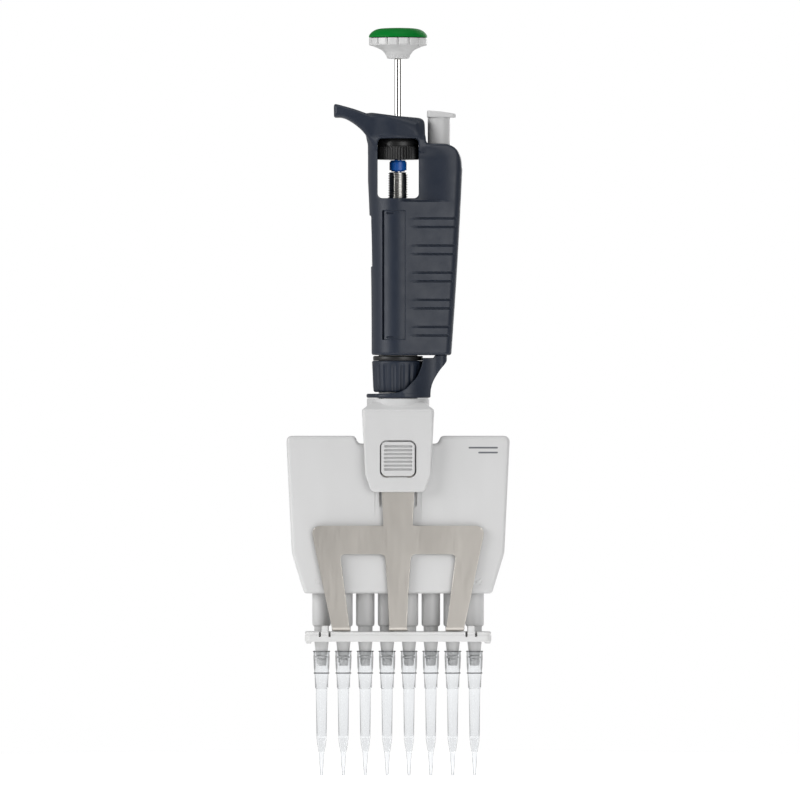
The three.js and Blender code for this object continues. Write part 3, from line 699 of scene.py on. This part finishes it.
def make_plunger():
    low, high = span("button_cap")
    r, top = high.x, high.z
    cap = [(0, low.z), (r, low.z, 0.15), (r, low.z + 0.7), (r - 0.45, low.z + 1.5), (r - 1.2, low.z + 2.3),
           (r - 2.6, low.z + 3.2), (r - 4.4, top - 0.35), (r - 7, top - 0.15), (0, top - 0.1)]
    stands_for(turned("plunger_cap", rounded(cap, 0.9, 4), 96), "button_cap")

    low, high = span("push_button")
    top = high.z
    skirt = [(1.8, low.z), (4.25, low.z, 0.3), (4.75, low.z + 1.1), (5.4, low.z + 2.0), (5.95, low.z + 2.8),
             (6.8, low.z + 3.55), (8.4, low.z + 4.35), (10.4, low.z + 5.15), (11.7, low.z + 5.4),
             (r, low.z + 5.75), (r, top, 0.2), (0, top)]

    def flutes(angle, z, radius):
        groove = dent(off_middle(angle * BUTTON_FLUTES / (2 * np.pi)) - 0.5, 0.11)
        scallop = 0.12 * np.cos(angle * BUTTON_FLUTES) * (z < low.z + 1.2) * (radius > 3)
        return scallop - 0.8 * groove * ease(z, low.z + 5.2, low.z + 5.8) * (radius > 9)

    profile = dense(rounded(skirt, 0.8, 4), 0.4)
    stands_for(turned("plunger_button", profile, 320, flutes, sharp=50), "push_button")

    low, high = span("operating_rod")
    profile = rounded([(0, low.z), (high.x, low.z), (high.x, high.z), (0, high.z)], 0.3)
    stands_for(turned("plunger_rod", profile, 64), "operating_rod")


def make_micrometer():
    low, high = span("thumbwheel")
    r = WHEEL_R
    top = WINDOW[3] - 0.08
    wheel = [(SHAFT_R, low.z), (r - 0.25, low.z, 0.1), (r, low.z + 0.25, 0.1), (r, WHEEL_STEP - 0.3, 0.1),
             (r - 0.1, WHEEL_STEP - 0.1, 0.1), (r - 0.3, WHEEL_STEP + 0.1, 0.1), (r - 0.3, top - 0.9, 0.5),
             (r - 1.1, top), (SHAFT_R, top), (SHAFT_R, low.z)]

    def knurl(angle, z, radius):
        tooth = off_middle(angle * KNURLS / (2 * np.pi)) * 2
        reach = ease(z, low.z, low.z + 0.3) * (1 - ease(z, WHEEL_STEP - 0.6, WHEEL_STEP))
        return -0.42 * (tooth**1.5) * reach * (radius > r - 0.5)

    profile = dense(rounded(wheel, 0.25, 2), 0.5)
    stands_for(turned("thumb_wheel", profile, 8 * KNURLS, knurl, sharp=50), "thumbwheel")

    low, high = span("volume_collar")
    r = high.x
    inner, z0, z1 = r - 0.75, low.z, high.z
    collar = [(SHAFT_R, z0), (inner, z0), (inner, z0 + 0.45), (r - 0.1, z0 + 0.5), (r, z0 + 0.65),
              (r, z1 - 0.75), (r - 0.1, z1 - 0.6), (inner + 0.35, z1 - 0.55), (inner + 0.35, z1),
              (SHAFT_R, z1), (SHAFT_R, z0)]
    stands_for(turned("set_collar", rounded(collar, 0.12, 2), 72), "volume_collar")

    low, high = span("micrometer_screw")
    r, pitch = high.x, 1.0
    screw = [(SHAFT_R, low.z), (r - 0.5, low.z), (r, low.z + 0.6), (r, high.z - 0.6), (r - 0.5, high.z),
             (SHAFT_R, high.z), (SHAFT_R, low.z)]

    def thread(angle, z, radius):
        flank = off_middle(z / pitch - angle / (2 * np.pi)) * 2
        return -0.5 * np.clip(1.6 * flank - 0.3, 0, 1) * (radius > r - 0.3)

    stands_for(turned("feed_screw", dense(rounded(screw, 0.1, 2), 0.125), 48, thread, sharp=70),
               "micrometer_screw")


# ---------- under the handle

NUT_FLUTES = 18


def make_nut_and_ring():
    low, high = span("handle_ring")
    inner = 8.35
    r, z0, z1 = high.x + 0.5, low.z - 0.22, high.z
    profile = [(inner, z0), (r - 0.1, z0), (r, z0 + 0.5), (r, z1 - 0.3), (r - 0.4, z1), (inner, z1),
               (inner, z0)]
    stands_for(turned("handle_collar", rounded(profile, 0.15, 2), 96), "handle_ring")

    low, high = span("connecting_nut")
    z0, z1 = low.z, high.z
    profile = [(8.4, z0), (9.6, z0), (10.15, z0 + 0.45), (10.3, z0 + 2), (10.72, z1 - 1.6), (10.75, z1 - 0.5),
               (10.4, z1), (9.4, z1), (9.4, z1 - 4), (8.4, z1 - 4), (8.4, z0)]

    def flutes(angle, z, radius):
        wave = dent(off_middle(angle * NUT_FLUTES / (2 * np.pi)) - 0.5, 0.26)
        return -0.42 * wave * (1 - ease(z, z1 - 2.2, z1 - 0.9)) * (radius > 9.8)

    profile = dense(rounded(profile, 0.3, 3), 0.6)
    stands_for(turned("head_nut", profile, 288, flutes, sharp=50), "connecting_nut")


def make_neck():
    low, high = span("neck")
    base, z0 = 8.6, low.z
    r, shoulder = 8.0, -129.5
    flange = z0 + 7.9
    profile = [(2.7, z0), (7, z0), (7, flange - 3), (high.x, flange - 3), (high.x, flange), (base, flange),
               (base, shoulder), (r, shoulder),
               (r, high.z - 7.6), (9, high.z - 7.6), (9, high.z - 5), (r, high.z - 5), (r, high.z),
               (6.1, high.z), (6.1, z0 + 7.6), (2.7, z0 + 7.6), (2.7, z0)]

    def flats(angle, z, radius):
        half, sine = 7, np.abs(np.sin(angle))
        return np.where((radius > 10) & (radius * sine > half), half / np.maximum(sine, 0.1) - radius, 0)

    stands_for(turned("neck_tube", rounded(profile, 0.25, 2), 96, flats), "neck")


# ---------- ejector

NECK_BORE = 8.3  # hole round the neck in the arm and the yoke
ARM_HALF = 13.05  # half depth, inside the CAD box
ARM_TOP = span("ejector_arm")[1].z + 0.27
ARM_RIGHT = smooth_line([(13.2, -115.3), (13.4, -113.2), (13.6, -111.4), (14.6, -108.3), (17, -104.3),
                         (19.3, -101.4), (20.05, -100), (20.15, ARM_TOP)])
ARM_NOTCH = [(15.2, ARM_TOP), (14.5, ARM_TOP - 1.1), (10.1, ARM_TOP - 1.1)]
ARM_LEFT = smooth_line([(9.95, -101.4), (8.1, -106.2), (5.2, -109.6), (2.8, -111.9), (-0.6, -113.3),
                        (-4, -113.8), (-8, -114.3)])
ARM_OUTLINE = outline([*ARM_RIGHT, *ARM_NOTCH, *ARM_LEFT, (-8, -115.3)])


def button_field(x, y, z):
    low, high = span("ejector_button")
    top = high.z + 0.1 - (x - low.x) * 1.4 / (high.x - low.x) - 0.006 * (x - low.x - 6) ** 2
    plan = rectangle(x, y, low.x, high.x, low.y, high.y, 1.8)
    plate = common(common(plan, z - top, 0.45), 0.1 - z, 0.35)
    away = np.hypot(x - EJECTOR_X, y)
    stem = common(away - 4.6, slab(z, -24, 0.5), 0.4)
    body = joined(plate, stem, 0.3)
    return carved(body, common(away - 2.8, z + 14), 0.2)


def arm_field(x, y, z):
    block = rectangle(x, y, 6, 20.2, -6.5, 6.5, 3)
    away = np.hypot(x, y)
    plan = joined(away - 13.2, block, 4)
    rise = common(common(plan, ARM_OUTLINE(x, z), 0.2), -115 - z)
    disc = common(away - 13.0, slab(z, -115.35, -113.65), 0.6)
    body = joined(disc, rise, 0.8)
    body = carved(body, common(away - 11.2, -113.4 - z, 0.3), 0.3)
    body = common(body, np.abs(y) - ARM_HALF)
    return carved(body, away - NECK_BORE, 0.25)


yoke_low, yoke_high = span("yoke")
YOKE_FRONT = yoke_low.y
YOKE_HALF = 14.75
APRON_RIGHT = [
    (9.6, yoke_low.z), (10.8, yoke_low.z + 0.5), (11.4, yoke_low.z + 1.4), (13.5, -146.9), (14.0, -136.4),
    (14.4, -130), (YOKE_HALF, -121), (YOKE_HALF, -116),
]
APRON = outline([*APRON_RIGHT, *((-x, z) for x, z in reversed(APRON_RIGHT))])
LATCH_OPENING = (-7.4, 7.4, -148.1, -132.9)  # x and z ranges


def yoke_field(x, y, z):
    round_back = np.hypot(x, np.maximum(y + 1.5, 0)) - 14.6
    front = common(np.abs(x) - YOKE_HALF, YOKE_FRONT - y, 1.6)
    ring = np.where(y > -1.5, round_back, front)
    ring = common(ring, -123.4 - z, 0.6)
    chamfer = (ring + (z + 120.2) * 1.35) * 0.6
    ring = common(common(ring, chamfer, 0.2), z + 117.1, 0.3)
    apron = common(APRON(x, z), slab(y, YOKE_FRONT, -9.9), 0.9)
    body = joined(ring, common(common(apron, front), z + 121), 0.2)
    away = np.hypot(x, y)
    top = common(away - 12.85, slab(z, -121, yoke_high.z), 0.35)
    body = joined(body, top, 0.25)
    body = carved(body, away - NECK_BORE, 0.2)
    body = carved(body, common(away - 9.8, z + 118.2), 0.2)
    body = carved(body, common(rectangle(x, z, *LATCH_OPENING, 2.7), y + 9), 0.3)
    tongue = common(common(slab(x, -3.9, 3.9), slab(z, -148.6, -147.75)), slab(y, -14.0, -13.0), 0.15)
    body = joined(body, tongue, 0.1)
    return carved(body, common(common(slab(x, -7.2, 7.2), slab(y, -12, -9)), slab(z, -160, -131)), 0.1)


SLOT_TOP, SLOT_PITCH, SLOTS_CUT = -135.3, 1.583, 7  # the latch button's grip slots


def latch_field(x, y, z):
    low, high = span("latch_button")
    face = common(rectangle(x, z, low.x, high.x, low.z, high.z, 2.3), slab(y, low.y, high.y), 0.35)
    middle = SLOT_TOP - SLOT_PITCH * np.clip(np.round((SLOT_TOP - z) / SLOT_PITCH), 0, SLOTS_CUT - 1)
    groove = rectangle(x, z - middle, -5.7, 5.7, -0.42, 0.42, 0.2)
    return carved(face, common(groove, y - low.y - 1.0), 0.12)


def make_ejector():
    sculpt_round("eject_key", "ejector_button", button_field, (0.35,), (0.35,), (0.4, (0.5, 2.2), 0.2))
    low, high = span("ejector_rod")
    profile = rounded([(0, low.z), (high.y, low.z), (high.y, high.z), (0, high.z)], 0.3)
    stands_for(turned("eject_rod", profile, 48, x=EJECTOR_X), "ejector_rod")
    sculpt_round("eject_arm", "ejector_arm", arm_field, (0.4,), (0.4,), (0.4, (-115.3, -113.7), 0.2))
    sculpt_round("eject_yoke", "yoke", yoke_field, (0.4, LATCH_OPENING[:2], 0.2),
                 (0.45, (YOKE_FRONT + 0.3,), 0.2), (0.4, (*LATCH_OPENING[2:], -118), 0.2))
    sculpt_round("latch_key", "latch_button", latch_field, (0.3,), (0.15,), (0.14,),
                 margins=(0.6, 0.6, 0.6))


# ---------- ejector plate and comb

plate_low, plate_high = span("ejector_plate")
PLATE_FRONT = plate_low.y
SHEET = 1.2  # thickness of the bent plate
FOOT_BOTTOM = plate_low.z
BAR_TOP = -167.9
BAR_BOTTOM = -179.6


def plate_corners():
    """Front outline of the plate's right half, from the stem down to the feet."""
    return [
        (-3, plate_high.z, 0), (6.7, plate_high.z, 0.5), (6.7, -154, 0), (6.0, BAR_TOP, 0.6),
        (36.0, BAR_TOP, 4.6), (30.2, -195.7, 0), (26.9, FOOT_BOTTOM, 0.3), (19.7, FOOT_BOTTOM, 0.3),
        (21.7, -195.7, 0), (23.8, BAR_BOTTOM, 2.2), (5.35, BAR_BOTTOM, 2.2), (4.25, -195.7, 0),
        (3.6, FOOT_BOTTOM, 0.3), (-3, FOOT_BOTTOM, 0),
    ]


PLATE_OUTLINE = outline(rounded(plate_corners(), 0, 5, closed=True))


def plate_field(x, y, z):
    half = np.abs(x)
    front = PLATE_OUTLINE(half, z)
    wall = common(front, slab(y, PLATE_FRONT, PLATE_FRONT + SHEET), 0.12)
    foot = common(slab(y, PLATE_FRONT, plate_high.y), slab(z, FOOT_BOTTOM, FOOT_BOTTOM + SHEET), 0.28)
    width = np.minimum(slab(half, 19.7, 26.9), half - 3.6)
    foot = common(foot, width, 0.28)
    body = joined(wall, foot, 0.8)
    return common(body, common(PLATE_FRONT - y, FOOT_BOTTOM - z, 1.5))


comb_low, comb_high = span("comb")
COMB_TOP = -211.5
COMB_BOTTOM = -215.6
TAB_X = 30.1  # middle of each upright tab


def comb_field(x, y, z):
    half = np.abs(x)
    plan = rectangle(x, y, comb_low.x, comb_high.x, comb_low.y, comb_high.y, 2.6)
    bar = common(plan, slab(z, COMB_BOTTOM, COMB_TOP), 0.5)
    bar = bar + 0.25 * dent(z - (COMB_TOP + COMB_BOTTOM) / 2 - 0.9, 0.35) * (plan > -1.2)
    end = common(rectangle(half, y, 35.6, 38, -10, 5, 0.6), slab(z, comb_low.z, COMB_BOTTOM + 1), 0.4)
    bar = joined(bar, end, 0.4)
    plan = rectangle(half, y, TAB_X - 1.3, TAB_X + 1.3, -11.6, -10, 0.3)
    bar = joined(bar, common(plan, slab(z, COMB_TOP - 1, comb_high.z), 0.25), 0.3)
    slot = common(slab(np.abs(half - TAB_X), 1.55, 2.4), slab(z, COMB_TOP - 2, COMB_TOP + 3))
    bar = carved(bar, common(slot, y + 5.0), 0.1)
    near = half % CHANNEL_PITCH - CHANNEL_PITCH / 2
    return carved(bar, np.hypot(near, y) - 3.35, 0.3)


def make_plate_and_comb():
    sculpt_round("eject_plate", "ejector_plate", plate_field, (0.5, (-6.3, 6.3), 0.25, 0.8),
                 (0.5, (PLATE_FRONT + 0.6,), 0.2, 0.8), (0.5, (FOOT_BOTTOM + 0.6, BAR_TOP, BAR_BOTTOM), 0.2),
                 margins=(1, 0.6, 0.6))
    slots = [side * TAB_X + away for side in (-1, 1) for away in (-2, 2)]
    sculpt_round("eject_comb", "comb", comb_field, (0.4, slots, 0.15, 0.75), (0.35,), (0.25,),
                 margins=(1, 1, 0.6))


# ---------- head

housing_low, housing_high = span("housing_front")
HOUSING_HALF = housing_high.x
HOUSING_FRONT = housing_low.y
HOUSING_WALL = 2.0
HOUSING_OUTLINE = outline([
    (-5, housing_high.z - 3.2),
    *smooth_line([(15, housing_high.z - 3.2), (16.1, housing_high.z - 2.95), (16.8, housing_high.z - 2.1),
                  (17.4, housing_high.z - 0.8), (18.2, housing_high.z - 0.15), (19.3, housing_high.z)], 3),
    *rounded([(30, housing_high.z), (HOUSING_HALF + 0.1, housing_high.z, 2.6), (43.7, -179.2, 1.5),
              (38.6, housing_low.z, 1.2), (20, housing_low.z)], 1, 5),
    (-5, housing_low.z),
])


def housing_relief(x, z):
    """How far the front face is sunk: the stem's channel, its slots and two small moulding marks."""
    half = np.abs(x)
    channel = 0.25 * (1 - ease(half, 9.3, 9.8)) * ease(z, -168.6, -158)
    slot = 0.9 * (1 - ease(half, 7.0, 7.9)) * ease(z, -161, -158)
    mark = 0.15 * dent(np.hypot(half - 32.8, z + 191) - 1.1, 0.35)
    return channel + slot + mark


def housing_field(x, y, z):
    half = np.abs(x)
    front = HOUSING_OUTLINE(half, z)
    face = np.abs(y) + HOUSING_FRONT
    sunk = housing_relief(x, z) * (y < 0)
    body = common(front, face + sunk, 1.6)
    body = carved(body, common(front + HOUSING_WALL, face + HOUSING_WALL, 0.5))
    near = half % CHANNEL_PITCH - CHANNEL_PITCH / 2
    holes = common(np.hypot(near, y) - 4.1, common(slab(z, -200, -190), half - 36))
    body = carved(body, holes, 0.3)
    return carved(body, common(np.hypot(x, y) - 8.9, slab(z, -136.9, -130)), 0.2)


def make_housing():
    xs = steps(-HOUSING_HALF - 1, HOUSING_HALF + 1, 0.55, (-9.5, -7.4, 7.4, 9.5), 0.25, 0.5)
    zs = steps(housing_low.z - 1, housing_high.z + 1, 0.55, (-160.3,), 0.2)
    gap = 0.15
    for face, sign in (("front", -1), ("back", 1)):
        def half_shell(x, y, z, sign=sign):
            return common(housing_field(x, y, z), gap - sign * y, 0.2)

        ys = np.sort(sign * steps(-0.2, 10.5, 0.45))
        stands_for(sculpt(f"head_cover_{face}", half_shell, xs, ys, zs), f"housing_{face}")


def make_mark():
    """A plain printed mark on the housing's upper right corner: two short bars."""
    points, faces = [], []
    for x0, x1, z0, z1 in ((29, 41, -136.2, -135.5), (33, 41, -138.2, -137.5)):
        loop = rounded([(x0, z0), (x1, z0), (x1, z1), (x0, z1)], 0.3, 3, closed=True)
        start = len(points)
        points += [(x, HOUSING_FRONT - 0.02, z) for x, z in loop]
        faces.append(tuple(start + i for i in range(len(loop))))
    belongs_to(new_piece("print_mark", points, faces), "housing_front", "slate_plastic", INK)


CHANNELS = 8
TIP_RIBS = 12


def make_holders_and_tips():
    for i in range(CHANNELS):
        holder, tip = f"tip_holder_{i + 1}", f"tip_{i + 1}"
        low, high = span(holder)
        x = (low.x + high.x) / 2
        z0 = low.z
        profile = [
            (1.0, z0), (1.75, z0, 0.15), (2.05, z0 + 1.2), (2.15, z0 + 2.6, 0.1), (1.85, z0 + 2.8, 0.1),
            (1.85, z0 + 4.2, 0.1), (2.35, z0 + 4.4, 0.1), (2.65, z0 + 7.3), (2.95, z0 + 9.8),
            (3.0, z0 + 16, 0.4), (3.0, z0 + 16.1), (3.7, z0 + 16.55, 0.3), (3.83, z0 + 17.4),
            (3.83, z0 + 29.6, 0.3), (3.83, z0 + 32.9), (4.35, z0 + 32.9), (4.35, z0 + 34.9),
            (3.83, z0 + 34.9), (3.83, high.z), (2.85, high.z), (2.85, z0 + 17), (1.0, z0 + 15), (1.0, z0),
        ]
        stands_for(turned(f"nozzle_{i + 1}", rounded(profile, 0.2, 3), 48, x=x), holder)
        around = np.linspace(0, 2 * np.pi, 13)
        torus = [(2.12 + 0.42 * math.cos(a), z0 + 3.5 + 0.55 * math.sin(a)) for a in around]
        belongs_to(turned(f"seal_ring_{i + 1}", torus, 40, x=x), holder, "grey_plastic")
        make_tip(tip, x)


def make_tip(node, x):
    """A thin-walled tip: a collar with short ribs, a ring, and a long cone."""
    low, high = span(node)
    z0, z1 = low.z, high.z
    outside = [
        (0.32, z0), (0.58, z0, 0.08), (0.75, z0 + 2.5), (1.2, z0 + 9.5), (1.75, z0 + 12.8), (2.1, z0 + 15.5),
        (2.32, z0 + 35.6, 0.2), (2.68, z0 + 36.0, 0.2), (2.85, z0 + 41.5), (2.96, z0 + 42.6),
        (3.26, z0 + 50.35), (3.26, z1, 0.15),
    ]
    inside = [
        (3.0, z1, 0.1), (2.75, z0 + 42), (2.3, z0 + 36.7), (1.8, z0 + 15.8), (0.9, z0 + 9.3), (0.32, z0),
    ]

    def ribs(angle, z, radius):
        rib = dent(off_middle(angle * TIP_RIBS / (2 * np.pi)) - 0.5, 0.16)
        return 0.13 * rib * ease(z, z0 + 43, z0 + 44) * (1 - ease(z, z0 + 49.6, z0 + 50.2)) * (radius > 2.95)

    profile = dense(rounded([*outside, *inside], 0.3, 3), 1.5)
    stands_for(turned(node.replace("tip", "clear_tip"), profile, 96, ribs, x=x, sharp=50), node)
    bands = (("rim", 3.28, 3.54, z1 - 0.45, z1), ("bead", 3.0, 3.24, z0 + 41.8, z0 + 42.3))
    for name, inner, outer, bottom, top in bands:
        ring = [(inner, bottom), (outer, bottom), (outer, top), (inner, top), (inner, bottom)]
        piece = turned(node.replace("tip", f"tip_{name}"), rounded(ring, 0.08, 2), 64, x=x)
        # The rim and bead rings take the strongly absorbing rim plastic: painted shade for the darkness that
        # trapped light gives them.
        belongs_to(piece, node, "clear_plastic", RIM_PAINTED_SHADE_PLASTIC)


# ---------- inside


def make_springs():
    low, high = span("main_spring")
    spring = stands_for(coil("plunger_spring", 4.9, 0.5, low.z, high.z, 11), "main_spring")
    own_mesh(spring)
    low, high = span("ejector_spring")
    spring = stands_for(coil("eject_spring", 3.6, 0.4, low.z, high.z, 7, EJECTOR_X), "ejector_spring")
    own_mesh(spring)
    low, high = span("blowout_spring")
    stands_for(coil("second_stop_spring", 4.9, 0.65, low.z, high.z, 5), "blowout_spring")


def finish_inner_nodes():
    """The CAD nodes that stay get the finish of their slot."""
    replaced = {name for piece in bpy.data.objects for name in piece.get("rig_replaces", [])}
    for name, node in frame["nodes"].items():
        if name in replaced:
            continue
        node.data.materials.clear()
        node.data.materials.append(FINISH[SLOTS[name]])
        node.data.shade_smooth()
        node.data.set_sharp_from_angle(angle=math.radians(30))


# ---------- studio

make_handle()
make_volumeter()
make_plunger()
make_micrometer()
make_nut_and_ring()
make_neck()
make_ejector()
make_plate_and_comb()
make_housing()
make_mark()
make_holders_and_tips()
make_springs()
finish_inner_nodes()

CENTRE = (CAD_BOX[0] + CAD_BOX[1]) / 2
CAMERA_AWAY = 5.0
VIEW_HEIGHT = 0.3294  # what the frame takes in at the object


def make_camera():
    data = bpy.data.cameras.new("camera")
    data.sensor_width = 36
    data.lens = data.sensor_width * CAMERA_AWAY / VIEW_HEIGHT
    camera = bpy.data.objects.new("camera", data)
    bpy.context.scene.collection.objects.link(camera)
    camera.location = (PLUNGER_X + 0.0008, -CAMERA_AWAY, CENTRE.z + 0.0006)
    camera.rotation_euler = (math.pi / 2, 0, 0)
    bpy.context.scene.camera = camera


def make_softbox(name, place, size, power):
    """A soft square light that faces the middle of the object."""
    data = bpy.data.lights.new(name, "AREA")
    data.shape = "SQUARE"
    data.size = size
    data.energy = power
    light = bpy.data.objects.new(name, data)
    bpy.context.scene.collection.objects.link(light)
    light.location = CENTRE + Vector(place)
    light.rotation_mode = "QUATERNION"
    light.rotation_quaternion = (-Vector(place)).to_track_quat("-Z", "Y")


FLOOR_R = 0.35
FLOOR_GLOW = 0.48


def make_floor():
    """A white disc under the tips, lit from below like a light table."""
    mesh = bpy.data.meshes.new("floor")
    angles = np.linspace(0, 2 * np.pi, 96, endpoint=False)
    rim = [(FLOOR_R * math.cos(a), FLOOR_R * math.sin(a), 0) for a in angles]
    mesh.from_pydata(rim, [], [tuple(range(len(rim)))])
    floor = bpy.data.objects.new("floor", mesh)
    floor.location = (PLUNGER_X, 0, CAD_BOX[0].z - 0.0005)
    bpy.context.scene.collection.objects.link(floor)
    paper = plastic("floor paper", linear(240, 240, 240), linear(244, 244, 244), (0.85, 0.95), 4e-6)
    shader = paper.node_tree.nodes["Principled BSDF"]
    shader.inputs["Emission Color"].default_value = (1, 1, 1, 1)
    shader.inputs["Emission Strength"].default_value = FLOOR_GLOW
    mesh.materials.append(paper)


# What the bright metal reflects near the horizon: brightness at each azimuth, from the back round by the
# left (-90), the front (0) and the right (90).
HORIZON = [(-180, 1), (-171, 1), (-165, 0.45), (-72, 0.5), (-66, 0.03), (-12, 0.05),
           (2, 0.2), (8, 1), (54, 1), (58, 0.05), (82, 0.05), (88, 0.6), (165, 0.45), (171, 1), (180, 1)]
SURROUND = 0.28


def make_world():
    """A white backdrop, and round the object pale surroundings with a darker band near the horizon."""
    world = bpy.data.worlds.new("studio")
    world.use_nodes = True
    bpy.context.scene.world = world
    tree = world.node_tree

    def node(kind, inputs=(), **settings):
        new = tree.nodes.new(kind)
        for key, value in settings.items():
            setattr(new, key, value)
        for socket, value in inputs:
            if isinstance(value, bpy.types.NodeSocket):
                tree.links.new(value, new.inputs[socket])
            else:
                new.inputs[socket].default_value = value
        return new

    direction = node("ShaderNodeTexCoord").outputs["Generated"]
    split = node("ShaderNodeSeparateXYZ", [("Vector", direction)])
    front = node("ShaderNodeMath", [(0, split.outputs["Y"]), (1, -1.0)], operation="MULTIPLY").outputs[0]
    azimuth = node("ShaderNodeMath", [(0, split.outputs["X"]), (1, front)], operation="ARCTAN2").outputs[0]
    turn = node("ShaderNodeMath", [(0, azimuth), (1, 0.5 / math.pi), (2, 0.5)], operation="MULTIPLY_ADD")
    ramp = node("ShaderNodeValToRGB", [("Fac", turn.outputs[0])])
    elements = ramp.color_ramp.elements
    while len(elements) < len(HORIZON):
        elements.new(0.5)
    for element, (degrees, value) in zip(elements, HORIZON):
        element.position = degrees / 360 + 0.5
        element.color = (value, value, value, 1)
    height = node("ShaderNodeMath", [(0, split.outputs["Z"])], operation="ABSOLUTE")
    share = node("ShaderNodeMapRange", [("Value", height.outputs[0]), ("From Min", 0.14), ("From Max", 0.32)])
    around = node("ShaderNodeMix", [("Factor", share.outputs[0]), ("A", ramp.outputs[0]),
                                    ("B", (SURROUND, SURROUND, SURROUND, 1))], data_type="RGBA")
    seen = node("ShaderNodeLightPath").outputs["Is Camera Ray"]
    backdrop = node("ShaderNodeMix", [("Factor", seen), ("A", around.outputs["Result"]), ("B", (1, 1, 1, 1))],
                    data_type="RGBA")
    tree.links.new(backdrop.outputs["Result"], tree.nodes["Background"].inputs["Color"])


bpy.context.scene.view_settings.view_transform = "Standard"
make_camera()
make_world()
make_floor()
make_softbox("key_left", (-1.0, -0.5, 0.35), 0.7, 8.5)
make_softbox("key_right", (0.38, -0.7, 0.1), 0.45, 1.7)
make_softbox("top", (0.1, -0.2, 1.0), 0.6, 2.5)
make_softbox("back", (0.6, 1.0, 0.4), 0.8, 5.0)
